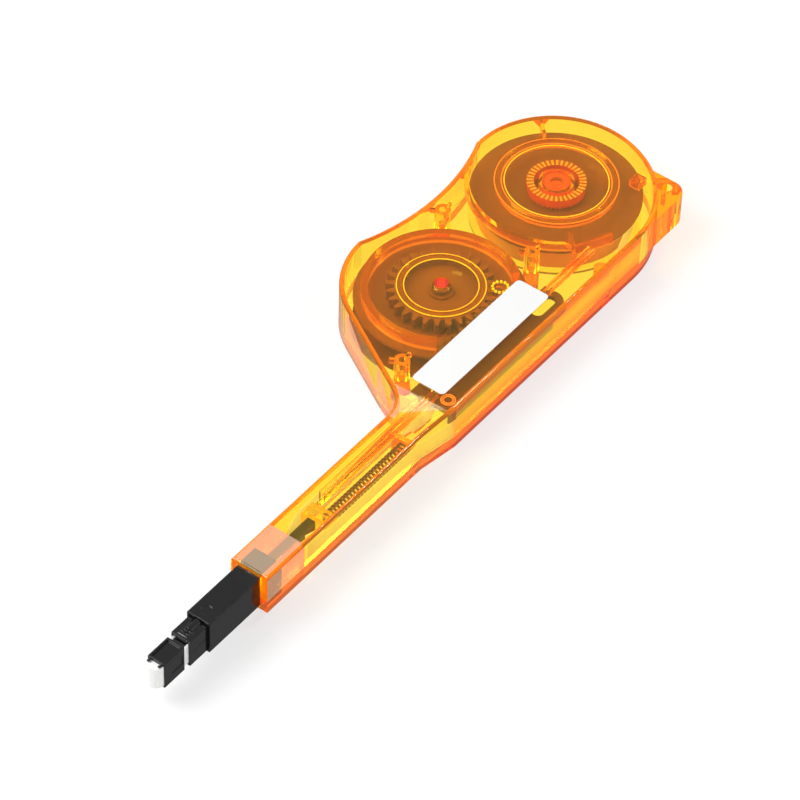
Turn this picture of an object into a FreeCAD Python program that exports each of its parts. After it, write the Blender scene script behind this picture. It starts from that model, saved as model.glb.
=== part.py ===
"""Fibre connector cleaning pen: a two-shell clear case with a tape cartridge inside it.

Frame: +X runs from the cleaning tip to the tail, +Y to the side that bulges round the reels, +Z up through the
cover. The lower shell rests on z = 0 and the outline is centred on X = Y = 0. Millimetres and degrees.
"""
import FreeCAD
import Part
import Sketcher
import math
import os
from FreeCAD import Placement, Rotation, Vector

SIZES = {
    # case outline, seen from above
    "near_side": 29.2,            # flat near wall, below the X axis
    "nose_front": 76.65,          # front face of the nose, towards the tip
    "nose_width": 11.8,
    "takeup_x": 36.55,            # take-up axis
    "takeup_y": 1.8,
    "supply_x": 89.05,            # supply axis
    "supply_y": 1.8,
    "bulge_radius": 27.4,         # wall round the take-up reel
    "drum_radius": 26.4,          # wall round the supply reel
    "tail_radius": 32.0,          # long arc from the near wall to the drum
    "waist_radius": 70.0,         # hollow between the two drums
    "waist_x": 62.8,
    "waist_floor": 23.7,          # how far out the hollow reaches at its deepest
    "slant_angle": 60.0,          # straight wall from the bulge down to the nose
    "throat_radius": 12.0,
    # case heights
    "body_top": 15.7,
    "nose_top": 17.0,
    "nose_bottom": 3.6,
    "body_parting": 4.5,
    "nose_parting": 8.5,
    "ramp_start": 12.95,          # cover ramp between the nose top and the body top, before X = 0
    "ramp_end": 0.4,
    "step_start": 12.85,          # the same step in the underside and in the parting line
    "step_end": 2.15,
    "case_wall": 1.4,
    "cover_plate": 1.3,
    "floor_plate": 1.3,
    "rim_radius": 1.0,
    "seam_radius": 0.8,
    # lanyard lug
    "lug_inset": 0.9,             # from the near wall in to the lug
    "lug_right": 109.4,
    "lug_corner": 4.5,
    "lug_top": 14.5,
    "lug_reach": 14.0,
    "lanyard_x": 106.15,
    "lanyard_y": 23.2,
    "lanyard_bore": 3.0,
    # walls and rings under the cover
    "takeup_fence_radius": 21.8,
    "takeup_fence_wall": 2.0,
    "takeup_fence_from": -38.5,
    "takeup_fence_to": 214.0,
    "fence_depth": 3.4,
    "takeup_ring_radius": 11.9,
    "takeup_ring_wall": 1.6,
    "takeup_ring_depth": 0.5,
    "supply_fence_radius": 25.4,
    "supply_fence_wall": 1.3,
    "supply_fence_from": 115.0,
    "supply_fence_to": 227.0,
    "supply_fence_depth": 2.6,
    "supply_ring_radius": 17.0,
    "supply_ring_wall": 1.6,
    "supply_ring_depth": 2.0,
    "small_rib_wall": 0.9,        # straight ribs and stops under the cover
    "small_rib_depth": 2.6,
    "lead_wall_from_x": 71.15,
    "lead_wall_from_y": 17.2,
    "lead_wall_to_x": 81.65,
    "lead_wall_to_y": 22.4,
    "stop_from_x": 74.65,
    "stop_from_y": 13.1,
    "stop_to_x": 69.25,
    "stop_to_y": 18.5,
    "spoke_angle": 46.0,          # short radial rib at the far side of the supply reel
    "spoke_inner": 19.4,
    "clip_x": 103.75,             # square clip at the tail
    "clip_y": 15.1,
    "clip_size": 3.4,
    "hub_ring_radius": 5.0,
    "hub_ring_depth": 2.2,
    "rail_middle": 21.2,          # two rails under the cover that guide the push rod
    "rail_gap": 1.1,
    "guide_rib_wall": 0.5,
    "guide_rib_from": 44.3,
    "guide_rib_to": 73.4,
    "guide_rib_bottom": 12.8,
    "rosette_x": 44.45,
    "rosette_y": 11.6,
    "rosette_radius": 2.2,
    "petal_radius": 0.7,
    "petal_count": 12,
    "rosette_depth": 0.45,
    # label
    "label_left": 3.15,
    "label_length": 47.4,
    "label_far": 13.5,
    "label_width": 10.4,
    "label_corner": 1.2,
    "label_thickness": 0.12,
    "label_gap": 0.3,
    # bosses that join the two shells
    "boss_a_x": 60.25,
    "boss_a_y": 19.2,
    "boss_b_x": 62.15,
    "boss_b_y": 9.6,
    "boss_c_x": 7.55,
    "boss_c_y": 7.2,
    "boss_radius": 2.2,
    "boss_bore": 1.0,
    "boss_meet": 8.0,
    "ear_reach": 1.3,             # three ears round each boss
    "ear_width": 0.8,
    "ear_depth": 1.6,
    "ear_count": 3,
    "peg_length": 2.0,
    # nose collar that guides the sleeve
    "collar_length": 15.0,
    "slide_gap": 0.1,
    # posts of the lower shell
    "takeup_post_radius": 2.0,
    "post_gap": 0.3,
    "supply_post_radius": 3.9,
    "supply_post_bore": 2.0,
    "supply_post_top": 13.9,
    "post_foot_radius": 6.0,
    "post_foot_height": 0.25,
    "guide_pin_radius": 2.0,
    "feed_pin_x": 72.5,
    "feed_pin_y": 25.35,
    "return_pin_x": 5.0,
    "return_pin_y": 17.0,
    "guide_pin_top": 10.2,
    "abutment_x": 13.9,
    "abutment_top": 11.6,
    "abutment_near": 27.0,
    "abutment_far": 20.2,
    # reels
    "reel_bottom": 1.7,
    "flange_thickness": 0.7,
    "hub_radius": 7.0,
    "spigot_wall": 1.2,
    "hub_bore_gap": 0.08,
    "tape_width": 7.0,
    "tape_gap": 0.1,
    "tape_thickness": 0.15,
    "tape_play": 0.05,
    "tape_meet": 30.0,            # how far round a roll a run of tape is shown
    "takeup_flange_radius": 23.7,
    "supply_flange_radius": 24.0,
    "takeup_roll_radius": 9.0,
    "supply_roll_radius": 22.0,
    # drive gear
    "gear_module": 1.0,
    "gear_teeth": 28,
    "gear_bottom": 10.95,
    "gear_web": 0.9,
    "gear_top": 13.8,
    "gear_rim": 2.2,
    "gear_hub_radius": 3.6,
    "gear_hub_top": 12.6,
    "tooth_play": 0.12,
    "pressure_angle": 20.0,
    # clutch spring over the gear
    "clutch_coil_radius": 2.6,
    "clutch_wire": 0.4,
    "clutch_turns": 3.0,
    # toothed ring under the cover
    "detent_outer": 8.3,
    "detent_inner": 6.3,
    "detent_height": 3.0,
    "detent_teeth": 48,
    "detent_tooth_depth": 0.5,
    # rack slider
    "slider_bottom": 10.8,
    "slider_plate": 1.3,
    "slider_near": 27.0,
    "slider_start": 1.5,
    "slider_wide_end": 42.5,
    "finger_end": 51.6,
    "finger_radius": 4.0,
    "finger_root": 4.0,
    "skirt_wall": 1.0,
    "skirt_bottom": 8.4,
    "skirt_end": 47.0,
    "rack_body": 2.4,
    "rack_top": 13.6,
    "rack_before": 7,             # teeth between the first one and the gear
    "rack_teeth": 9,
    "slot_length": 5.0,
    "slot_radius": 1.85,
    "tab_start": 48.5,
    "tab_length": 4.0,
    "tab_top": 13.6,
    # push rod in the rail channel
    "rod_width": 0.9,
    "rod_overlap": 3.0,
    "rod_height": 1.2,
    # spring carriage and return spring
    "carriage_front": 51.0,
    "carriage_rear": 46.0,
    "carriage_near": 27.0,
    "carriage_far": 19.6,
    "carriage_bottom": 6.0,
    "carriage_wall": 1.2,
    "seat_peg_radius": 1.3,
    "seat_peg_length": 2.0,
    "spring_y": 24.6,
    "spring_z": 9.5,
    "spring_radius": 1.85,
    "spring_wire": 0.5,
    "spring_turns": 23.0,
    "abutment_wall": 1.6,
    "abutment_peg_length": 2.0,
    # sleeve and tongue
    "sleeve_front": 96.45,
    "sleeve_rear": 69.65,
    "sleeve_middle": 23.05,
    "sleeve_width": 7.3,
    "sleeve_bottom": 5.0,
    "sleeve_top": 15.6,
    "sleeve_parting": 8.8,
    "sleeve_wall": 0.65,
    "sleeve_edge": 0.35,
    "ejector_mark": 3.2,
    "ejector_depth": 0.1,
    "tongue_width": 2.4,
    "tongue_bottom": 9.6,
    "tongue_top": 12.6,
    "bulkhead_x": 84.0,
    "bulkhead_wall": 1.2,
    # neck and head
    "neck_front": 103.4,
    "neck_width": 5.9,
    "neck_bottom": 5.7,
    "neck_top": 14.4,
    "neck_wall": 0.5,
    "neck_roof": 0.9,
    "neck_rear": 93.4,
    "neck_split": 10.3,
    "neck_groove": 0.3,
    "saddle_radius": 1.9,
    "saddle_rise": 0.75,
    "saddle_length": 4.0,
    "collar_rib_length": 0.5,     # two thin half rounds in front of the saddle
    "collar_rib_gap": 0.5,
    "head_front": 112.9,
    "head_rear": 105.2,
    "head_width": 5.3,
    "head_bottom": 5.8,
    "head_top": 14.3,
    "slot_inner": 2.12,           # slots for the tape inside the head, from its middle
    "slot_outer": 2.42,
    "slot_bottom": 6.3,
    "slot_top": 13.5,
    "window_depth": 0.15,
    "window_height": 3.0,
    "window_length": 5.0,
    "window_inset": 0.6,
    "window_chamfer": 1.0,
    "trough_depth": 0.55,
    "trough_rim": 0.6,
    "stem_rear": 91.0,
    "stem_width": 3.8,
    "stem_bottom": 6.6,
    "stem_top": 13.0,
    "pad_radius": 2.15,
    "pad_bottom": 6.4,
    "prong_radius": 0.35,         # two studs that stand over the pad
    "prong_spread": 1.75,
    "prong_drop": 0.75,
    "prong_length": 1.1,
    "head_coil_radius": 1.5,
    "head_coil_wire": 0.4,
    "head_coil_turns": 6.0,
    "head_coil_length": 7.0,
    "tape_tail": 66.0,
    "tape_lift": 4.0,
    "run_bend": 51.5,
    "run_end": 57.0,
    "run_end_spread": 2.7,
}


class Size:
    """A length of the sheet, or a sum of lengths: its value and the expression that gives it."""

    def __init__(self, value, text):
        self.value = value
        self.text = text

    def __add__(self, other):
        other = size(other)
        return Size(self.value + other.value, f"({self.text} + {other.text})")

    def __sub__(self, other):
        other = size(other)
        return Size(self.value - other.value, f"({self.text} - {other.text})")

    def __mul__(self, factor):
        factor = size(factor)
        return Size(self.value * factor.value, f"({self.text} * {factor.text})")

    def __truediv__(self, factor):
        factor = size(factor)
        return Size(self.value / factor.value, f"({self.text} / {factor.text})")

    def __neg__(self):
        return Size(-self.value, f"(0 - {self.text})")


def size(number):
    """The number as a Size."""
    if isinstance(number, Size):
        return number
    return Size(float(number), f"({float(number)})")


doc = FreeCAD.newDocument("cleaning_pen")
sheet = doc.addObject("Spreadsheet::Sheet", "Sizes")
for row, (alias, number) in enumerate(SIZES.items(), start=1):
    sheet.set(f"A{row}", alias)
    sheet.set(f"B{row}", str(number))
    sheet.setAlias(f"B{row}", alias)
doc.recompute()


class Sheet:
    """Reads the sheet's values by name, each as a Size."""

    def __getattr__(self, alias):
        return Size(float(sheet.get(alias)), f"Sizes.{alias}")


S = Sheet()
WAIST_Y = S.waist_floor + S.waist_radius
LUG_NEAR = S.near_side - S.lug_inset


# ---------------------------------------------------------------- drawing helpers

def bind(feature, prop, length):
    """Ties a property of a feature to the sheet."""
    length = size(length)
    feature.setExpression(prop, length.text)


def new_body(name, x=0, y=0, z=0):
    """An empty body with its own label, placed at a point that follows the sheet."""
    body = doc.addObject("PartDesign::Body", name)
    body.Label = name
    x, y, z = size(x), size(y), size(z)
    body.Placement = Placement(Vector(x.value, y.value, z.value), Rotation())
    bind(body, "Placement.Base.x", x)
    bind(body, "Placement.Base.y", y)
    bind(body, "Placement.Base.z", z)
    return body


def origin_feature(body, role):
    """One of the body's own origin planes or axes."""
    return [f for f in body.Origin.OriginFeatures if f.Role == role][0]


class Drawing:
    """A sketch on one of a body's origin planes, with every length tied to the sheet."""

    def __init__(self, body, name, plane="XY_Plane", level=0, x=0, y=0):
        self.body = body
        self.sketch = body.newObject("Sketcher::SketchObject", name)
        self.sketch.AttachmentSupport = (origin_feature(body, plane), "")
        self.sketch.MapMode = "FlatFace"
        x, y, level = size(x), size(y), size(level)
        self.sketch.AttachmentOffset = Placement(Vector(x.value, y.value, level.value), Rotation())
        bind(self.sketch, "AttachmentOffset.Base.x", x)
        bind(self.sketch, "AttachmentOffset.Base.y", y)
        bind(self.sketch, "AttachmentOffset.Base.z", level)

    def relate(self, kind, *where):
        """A constraint without a length."""
        return self.sketch.addConstraint(Sketcher.Constraint(kind, *where))

    def dimension(self, kind, *where):
        """A constraint whose last argument is a length of the sheet."""
        length = size(where[-1])
        value = math.radians(length.value) if kind == "Angle" else length.value
        index = self.sketch.addConstraint(Sketcher.Constraint(kind, *where[:-1], value))
        self.sketch.setExpression(f"Constraints[{index}]", length.text)

    def place(self, geo, point, x, y):
        """Fixes a point of the geometry from the sketch's origin."""
        self.dimension("DistanceX", -1, 1, geo, point, x)
        self.dimension("DistanceY", -1, 1, geo, point, y)

    def line(self, x0, y0, x1, y1):
        return self.sketch.addGeometry(Part.LineSegment(Vector(x0, y0, 0), Vector(x1, y1, 0)))

    def arc(self, x, y, radius, start, end):
        """A counter-clockwise arc between two angles in degrees."""
        circle = Part.Circle(Vector(x, y, 0), Vector(0, 0, 1), radius)
        return self.sketch.addGeometry(Part.ArcOfCircle(circle, math.radians(start), math.radians(end)))

    def circle(self, x, y, radius):
        x, y, radius = size(x), size(y), size(radius)
        ring = Part.Circle(Vector(x.value, y.value, 0), Vector(0, 0, 1), radius.value)
        geo = self.sketch.addGeometry(ring)
        self.place(geo, 3, x, y)
        self.dimension("Radius", geo, radius)
        return self

    def polygon(self, points):
        """A closed run of lines through corners that are each fixed from the origin."""
        points = [(size(x), size(y)) for x, y in points]
        lines = []
        for index, (x, y) in enumerate(points):
            x1, y1 = points[(index + 1) % len(points)]
            lines.append(self.line(x.value, y.value, x1.value, y1.value))
        for index, (x, y) in enumerate(points):
            self.relate("Coincident", lines[index - 1], 2, lines[index], 1)
            self.place(lines[index], 1, x, y)
        return self

    def rectangle(self, x0, x1, y0, y1):
        x0, x1, y0, y1 = size(x0), size(x1), size(y0), size(y1)
        return self.polygon([(x0, y0), (x1, y0), (x1, y1), (x0, y1)])

    def sector(self, x, y, inner, outer, start, end):
        """A piece of a ring between two angles, counter-clockwise."""
        x, y, inner, outer = size(x), size(y), size(inner), size(outer)
        start, end = size(start), size(end)
        a, b = math.radians(start.value), math.radians(end.value)
        near = self.arc(x.value, y.value, inner.value, start.value, end.value)
        far = self.arc(x.value, y.value, outer.value, start.value, end.value)
        first = self.line(x.value + inner.value * math.cos(a), y.value + inner.value * math.sin(a),
                          x.value + outer.value * math.cos(a), y.value + outer.value * math.sin(a))
        last = self.line(x.value + inner.value * math.cos(b), y.value + inner.value * math.sin(b),
                         x.value + outer.value * math.cos(b), y.value + outer.value * math.sin(b))
        self.relate("Coincident", near, 3, far, 3)
        self.place(near, 3, x, y)
        self.relate("Coincident", near, 1, first, 1)
        self.relate("Coincident", far, 1, first, 2)
        self.relate("Coincident", near, 2, last, 1)
        self.relate("Coincident", far, 2, last, 2)
        self.dimension("Radius", near, inner)
        self.dimension("Radius", far, outer)
        self.relate("PointOnObject", near, 3, first)
        self.relate("PointOnObject", near, 3, last)
        self.dimension("Angle", first, start)
        self.dimension("Angle", last, end)
        return self

    def slot(self, x, y, length, radius):
        """A slot along X, given by its middle, the distance of its end centres and its radius."""
        x, y, length, radius = size(x), size(y), size(length), size(radius)
        x0, x1 = x.value - length.value / 2, x.value + length.value / 2
        left = self.arc(x0, y.value, radius.value, 90, 270)
        right = self.arc(x1, y.value, radius.value, -90, 90)
        low = self.line(x0, y.value - radius.value, x1, y.value - radius.value)
        high = self.line(x1, y.value + radius.value, x0, y.value + radius.value)
        self.relate("Tangent", left, 2, low, 1)
        self.relate("Tangent", low, 2, right, 1)
        self.relate("Tangent", right, 2, high, 1)
        self.relate("Tangent", high, 2, left, 1)
        self.relate("Horizontal", low)
        self.place(left, 3, x - length / 2, y)
        self.dimension("DistanceX", left, 3, right, 3, length)
        self.dimension("Radius", left, radius)
        return self

    def pad(self, length, reverse=False):
        """Raises the sketch into the body, towards +normal unless reversed."""
        return self._prism("PartDesign::Pad", length, reverse)

    def pocket(self, length, reverse=False):
        """Cuts the sketch out of the body, towards -normal unless reversed."""
        return self._prism("PartDesign::Pocket", length, reverse)

    def _prism(self, kind, length, reverse):
        feature = self.body.newObject(kind, self.sketch.Name + "_" + kind[12:])
        feature.Profile = self.sketch
        feature.Reversed = reverse
        length = size(length)
        feature.Length = length.value
        bind(feature, "Length", length)
        self.body.Tip = feature
        return feature

    def through(self, reach):
        """Cuts the sketch out of the body on both sides of its plane."""
        feature = self.pocket(reach)
        if hasattr(feature, "SideType"):
            feature.SideType = "Symmetric"
        else:
            feature.Midplane = True
        return feature

    def pad_both(self, length):
        """Raises the sketch by the same amount on both sides of its plane."""
        feature = self.pad(length)
        if hasattr(feature, "SideType"):
            feature.SideType = "Symmetric"
        else:
            feature.Midplane = True
        return feature

    def revolve(self, axis="V_Axis"):
        """Turns the sketch round one of its own axes."""
        feature = self.body.newObject("PartDesign::Revolution", self.sketch.Name + "_Turned")
        feature.Profile = self.sketch
        feature.ReferenceAxis = (self.sketch, [axis])
        feature.Angle = 360.0
        self.body.Tip = feature
        return feature

    def coil(self, axis, pitch, height):
        """Winds the sketch round one of its own axes into a spring."""
        feature = self.body.newObject("PartDesign::AdditiveHelix", self.sketch.Name + "_Coil")
        feature.Profile = self.sketch
        feature.ReferenceAxis = (self.sketch, [axis])
        feature.Mode = 0
        feature.Pitch = pitch.value
        feature.Height = height.value
        bind(feature, "Pitch", pitch)
        bind(feature, "Height", height)
        self.body.Tip = feature
        return feature


def polar(body, feature, count, axis=None):
    """Repeats a feature round an axis."""
    doc.recompute()
    pattern = body.newObject("PartDesign::PolarPattern", feature.Name + "_Round")
    pattern.Originals = [feature]
    pattern.Axis = axis or (origin_feature(body, "Z_Axis"), [""])
    pattern.Angle = 360.0
    count = size(count)
    pattern.Occurrences = int(count.value)
    bind(pattern, "Occurrences", count)
    body.Tip = pattern
    doc.recompute()
    return pattern


def linear(body, feature, count, pitch, role="X_Axis"):
    """Repeats a feature along an origin axis of the body."""
    doc.recompute()
    pattern = body.newObject("PartDesign::LinearPattern", feature.Name + "_Row")
    pattern.Originals = [feature]
    pattern.Direction = (origin_feature(body, role), [""])
    count = size(count)
    pattern.Occurrences = int(count.value)
    bind(pattern, "Occurrences", count)
    pattern.Length = (pitch * (count - 1)).value
    bind(pattern, "Length", pitch * (count - 1))
    body.Tip = pattern
    doc.recompute()
    return pattern


def round_edges(body, name, radius, keep, kind="PartDesign::Fillet"):
    """Rounds the edges of the body that the test keep(edge) picks."""
    doc.recompute()
    base = body.Tip
    names = [f"Edge{n}" for n, edge in enumerate(base.Shape.Edges, start=1) if keep(edge)]
    feature = body.newObject(kind, name)
    feature.Base = (base, names)
    prop = "Radius" if kind.endswith("Fillet") else "Size"
    setattr(feature, prop, size(radius).value)
    bind(feature, prop, radius)
    body.Tip = feature
    doc.recompute()
    return feature


def outline(drawing, inset, front, nose=True):
    """The case outline moved inwards by inset, closed at the front by a line across it.

    Without the nose the front line stands in the body and meets the slanted wall.
    """
    inset, front = size(inset), size(front)
    i = inset.value
    near = S.near_side.value
    tx, ty = S.takeup_x.value, S.takeup_y.value
    sx, sy = S.supply_x.value, S.supply_y.value
    wx, wy = S.waist_x.value, WAIST_Y.value
    drum, bulge, tail = S.drum_radius.value, S.bulge_radius.value, S.tail_radius.value
    waist, throat = S.waist_radius.value, S.throat_radius.value
    slant = math.radians(S.slant_angle.value)
    nx, ny = -math.sin(slant), math.cos(slant)
    yt = tail - near
    xt = sx - math.sqrt((tail - drum) ** 2 - (yt - sy) ** 2)
    tail_end = math.degrees(math.atan2(sy - yt, sx - xt))
    far = S.nose_width.value - near
    cy = far + throat
    cx = tx + (bulge + throat - (cy - ty) * ny) / nx

    def meet(x, y, radius, side):
        """Where a drum wall meets the waist arc, as an angle round the drum and round the waist."""
        span = math.hypot(wx - x, wy - y)
        along = (span ** 2 + radius ** 2 - (waist + i) ** 2) / (2 * span)
        turn = side * math.acos(along / radius)
        angle = math.atan2(wy - y, wx - x) + turn
        px, py = x + radius * math.cos(angle), y + radius * math.sin(angle)
        return math.degrees(angle), math.degrees(math.atan2(py - wy, px - wx)) % 360

    drum_top, waist_end = meet(sx, sy, drum - i, -1)
    bulge_top, waist_start = meet(tx, ty, bulge - i, 1)
    y0 = i - near
    slant_x, slant_y = tx + (bulge - i) * nx, ty + (bulge - i) * ny
    near_line = drawing.line(front.value, y0, xt, y0)
    tail_arc = drawing.arc(xt, yt, tail - i, -90, tail_end)
    drum_arc = drawing.arc(sx, sy, drum - i, tail_end, drum_top)
    waist_arc = drawing.arc(wx, wy, waist + i, waist_start, waist_end)
    bulge_arc = drawing.arc(tx, ty, bulge - i, bulge_top, 90 + S.slant_angle.value)
    if nose:
        low_x, low_y = cx - (throat + i) * nx, cy - (throat + i) * ny
    else:
        low_x, low_y = front.value, slant_y + (front.value - slant_x) * math.tan(slant)
    slant_line = drawing.line(low_x, low_y, slant_x, slant_y)
    drawing.relate("Tangent", near_line, 2, tail_arc, 1)
    drawing.relate("Tangent", tail_arc, 2, drum_arc, 1)
    drawing.relate("Coincident", drum_arc, 2, waist_arc, 2)
    drawing.relate("Coincident", waist_arc, 1, bulge_arc, 1)
    drawing.relate("Tangent", bulge_arc, 2, slant_line, 2)
    if nose:
        throat_arc = drawing.arc(cx, cy, throat + i, -90, S.slant_angle.value - 90)
        far_line = drawing.line(cx, far - i, front.value, far - i)
        front_line = drawing.line(front.value, far - i, front.value, y0)
        drawing.relate("Tangent", slant_line, 1, throat_arc, 2)
        drawing.relate("Tangent", throat_arc, 1, far_line, 1)
        drawing.relate("Coincident", far_line, 2, front_line, 1)
        drawing.relate("Horizontal", far_line)
        drawing.dimension("Radius", throat_arc, S.throat_radius + inset)
        drawing.dimension("DistanceY", -1, 1, far_line, 2, S.nose_width - S.near_side - inset)
    else:
        front_line = drawing.line(front.value, low_y, front.value, y0)
        drawing.relate("Coincident", slant_line, 1, front_line, 1)
    drawing.relate("Coincident", front_line, 2, near_line, 1)
    drawing.relate("Horizontal", near_line)
    drawing.relate("Vertical", front_line)
    drawing.place(near_line, 1, front, inset - S.near_side)
    drawing.place(drum_arc, 3, S.supply_x, S.supply_y)
    drawing.place(bulge_arc, 3, S.takeup_x, S.takeup_y)
    drawing.place(waist_arc, 3, S.waist_x, WAIST_Y)
    drawing.dimension("Radius", tail_arc, S.tail_radius - inset)
    drawing.dimension("Radius", drum_arc, S.drum_radius - inset)
    drawing.dimension("Radius", waist_arc, S.waist_radius + inset)
    drawing.dimension("Radius", bulge_arc, S.bulge_radius - inset)
    drawing.dimension("Angle", slant_line, S.slant_angle)
    return drawing


# ---------------------------------------------------------------- shared levels

ACROSS = S.near_side * 6
UNDER_BODY = S.body_top - S.cover_plate
UNDER_NOSE = S.nose_top - S.cover_plate
NOSE_FLOOR = S.nose_bottom + S.floor_plate
NOSE_MIDDLE = S.near_side - S.nose_width / 2
SLEEVE_HALF = S.sleeve_width / 2
SLEEVE_BACK = -S.sleeve_rear
SLIDER_TOP = S.slider_bottom + S.slider_plate
CARRIAGE_TOP = S.guide_rib_bottom - S.slide_gap
PITCH = S.gear_module * size(math.pi)
PITCH_RADIUS = S.gear_module * S.gear_teeth / 2
TAPE_LOW = S.reel_bottom + S.flange_thickness + S.tape_gap
TAPE_HIGH = TAPE_LOW + S.tape_lift
FLANGE_LEVEL = TAPE_LOW + S.tape_width + S.tape_gap


def top_at(x):
    """Height of the cover's top over x."""
    start, end = -S.ramp_start.value, -S.ramp_end.value
    share = min(1.0, max(0.0, (x - start) / (end - start)))
    return S.nose_top.value + share * (S.body_top.value - S.nose_top.value)


def bottom_at(x):
    """Height of the lower shell's underside over x."""
    start, end = -S.step_start.value, S.step_end.value
    share = min(1.0, max(0.0, (x - start) / (end - start)))
    return S.nose_bottom.value * (1.0 - share)


def follows(edge, level):
    """Whether an edge runs round the shell on a top or bottom surface given by level(x)."""
    points = edge.discretize(5)
    across = max(p.x for p in points) - min(p.x for p in points) < 0.01
    at_front = abs(points[0].x + S.nose_front.value) < 0.01
    if across and not at_front and abs(points[0].y - points[-1].y) > 1:
        return False
    return all(abs(p.z - level(p.x)) < 0.01 for p in points)


# ---------------------------------------------------------------- upper shell

upper = new_body("upper_shell")
cover = Drawing(upper, "CoverOutline", level=S.body_parting)
outline(cover, 0, -S.nose_front).pad(S.nose_top - S.body_parting)

above = Drawing(upper, "CoverTop", "XZ_Plane")
above.polygon([
    (-S.ramp_start, S.nose_top),
    (-S.ramp_end, S.body_top),
    (S.nose_front * 2, S.body_top),
    (S.nose_front * 2, S.nose_top + 2),
    (-S.ramp_start, S.nose_top + 2),
]).through(ACROSS)
round_edges(upper, "CoverRim", S.rim_radius, lambda edge: follows(edge, top_at))

lug = Drawing(upper, "Lug", level=S.body_parting)
corner_x, corner_y = S.lug_right - S.lug_corner, S.lug_corner - LUG_NEAR
lug_arc = lug.arc(corner_x.value, corner_y.value, S.lug_corner.value, -90, 0)
lug_low = lug.line(S.supply_x.value, -LUG_NEAR.value, corner_x.value, -LUG_NEAR.value)
lug_right = lug.line(S.lug_right.value, corner_y.value, S.lug_right.value, -S.lug_reach.value)
lug_high = lug.line(S.lug_right.value, -S.lug_reach.value, S.supply_x.value, -S.lug_reach.value)
lug_left = lug.line(S.supply_x.value, -S.lug_reach.value, S.supply_x.value, -LUG_NEAR.value)
lug.relate("Tangent", lug_low, 2, lug_arc, 1)
lug.relate("Tangent", lug_arc, 2, lug_right, 1)
lug.relate("Coincident", lug_right, 2, lug_high, 1)
lug.relate("Coincident", lug_high, 2, lug_left, 1)
lug.relate("Coincident", lug_left, 2, lug_low, 1)
lug.relate("Horizontal", lug_low)
lug.relate("Vertical", lug_right)
lug.relate("Horizontal", lug_high)
lug.relate("Vertical", lug_left)
lug.place(lug_low, 1, S.supply_x, -LUG_NEAR)
lug.place(lug_right, 2, S.lug_right, -S.lug_reach)
lug.dimension("Radius", lug_arc, S.lug_corner)
lug.pad(S.lug_top - S.body_parting)

below = Drawing(upper, "CoverParting", "XZ_Plane")
below.polygon([
    (-S.nose_front * 2, S.body_parting - 1),
    (S.step_end, S.body_parting - 1),
    (S.step_end, S.body_parting),
    (-S.step_start, S.nose_parting),
    (-S.nose_front * 2, S.nose_parting),
]).through(ACROSS)

room = Drawing(upper, "CoverRoom", level=S.body_parting - 1)
outline(room, S.case_wall, S.collar_length - S.nose_front).pocket(UNDER_BODY - S.body_parting + 1, reverse=True)
nose_room = Drawing(upper, "NoseRoom", level=S.body_parting)
nose_room.rectangle(
    S.collar_length - S.nose_front, -S.ramp_start,
    S.case_wall - S.near_side, S.nose_width - S.near_side - S.case_wall,
).pocket(UNDER_NOSE - S.body_parting, reverse=True)
ramp_room = Drawing(upper, "RampRoom", "XZ_Plane", level=NOSE_MIDDLE)
ramp_room.polygon([
    (-S.ramp_start, UNDER_BODY),
    (-S.ramp_start, UNDER_NOSE),
    (-S.ramp_end, UNDER_BODY),
]).through(S.nose_width - S.case_wall * 2)

mouth = Drawing(upper, "CoverMouth", "YZ_Plane", level=-S.nose_front - 1)
mouth.rectangle(
    -S.sleeve_middle - SLEEVE_HALF - S.slide_gap, SLEEVE_HALF - S.sleeve_middle + S.slide_gap,
    S.body_parting, S.sleeve_top + S.slide_gap,
).pocket(S.collar_length + 1, reverse=True)

bore = Drawing(upper, "LanyardHole", level=S.lug_top + 1)
bore.circle(S.lanyard_x, -S.lanyard_y, S.lanyard_bore / 2).pocket(S.lug_top)

post_hole = Drawing(upper, "PostHole", level=S.body_top + 1)
post_hole.circle(S.takeup_x, S.takeup_y, S.takeup_post_radius + S.post_gap).pocket(S.cover_plate + S.slide_gap + 1)

recess = Drawing(upper, "LabelRecess", level=S.body_top)
recess.rectangle(
    S.label_left - S.label_gap, S.label_left + S.label_length + S.label_gap,
    -S.label_far - S.label_width - S.label_gap, S.label_gap - S.label_far,
).pocket(S.label_thickness)


def hang(name, depth, level=UNDER_BODY):
    """A drawing on the underside of the cover and the pad that hangs from it."""
    drawing = Drawing(upper, name, level=level)
    return drawing, lambda: drawing.pad(depth, reverse=True)


fence, raise_fence = hang("TakeupFence", S.fence_depth)
fence.sector(S.takeup_x, S.takeup_y, S.takeup_fence_radius - S.takeup_fence_wall, S.takeup_fence_radius,
             S.takeup_fence_from, S.takeup_fence_to)
raise_fence()
ring, raise_ring = hang("TakeupRing", S.takeup_ring_depth)
ring.circle(S.takeup_x, S.takeup_y, S.takeup_ring_radius)
ring.circle(S.takeup_x, S.takeup_y, S.takeup_ring_radius - S.takeup_ring_wall)
raise_ring()
fence, raise_fence = hang("SupplyFence", S.supply_fence_depth)
fence.sector(S.supply_x, S.supply_y, S.supply_fence_radius - S.supply_fence_wall, S.supply_fence_radius,
             S.supply_fence_from, S.supply_fence_to)
raise_fence()
ring, raise_ring = hang("SupplyRing", S.supply_ring_depth)
ring.circle(S.supply_x, S.supply_y, S.supply_ring_radius)
ring.circle(S.supply_x, S.supply_y, S.supply_ring_radius - S.supply_ring_wall)
raise_ring()
ring, raise_ring = hang("HubRing", S.hub_ring_depth)
ring.circle(S.supply_x, S.supply_y, S.hub_ring_radius)
ring.circle(S.supply_x, S.supply_y, S.supply_post_radius + S.hub_bore_gap)
raise_ring()
rails, raise_rails = hang("Rails", UNDER_BODY - S.guide_rib_bottom)
rail_half = S.rail_gap / 2
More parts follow.
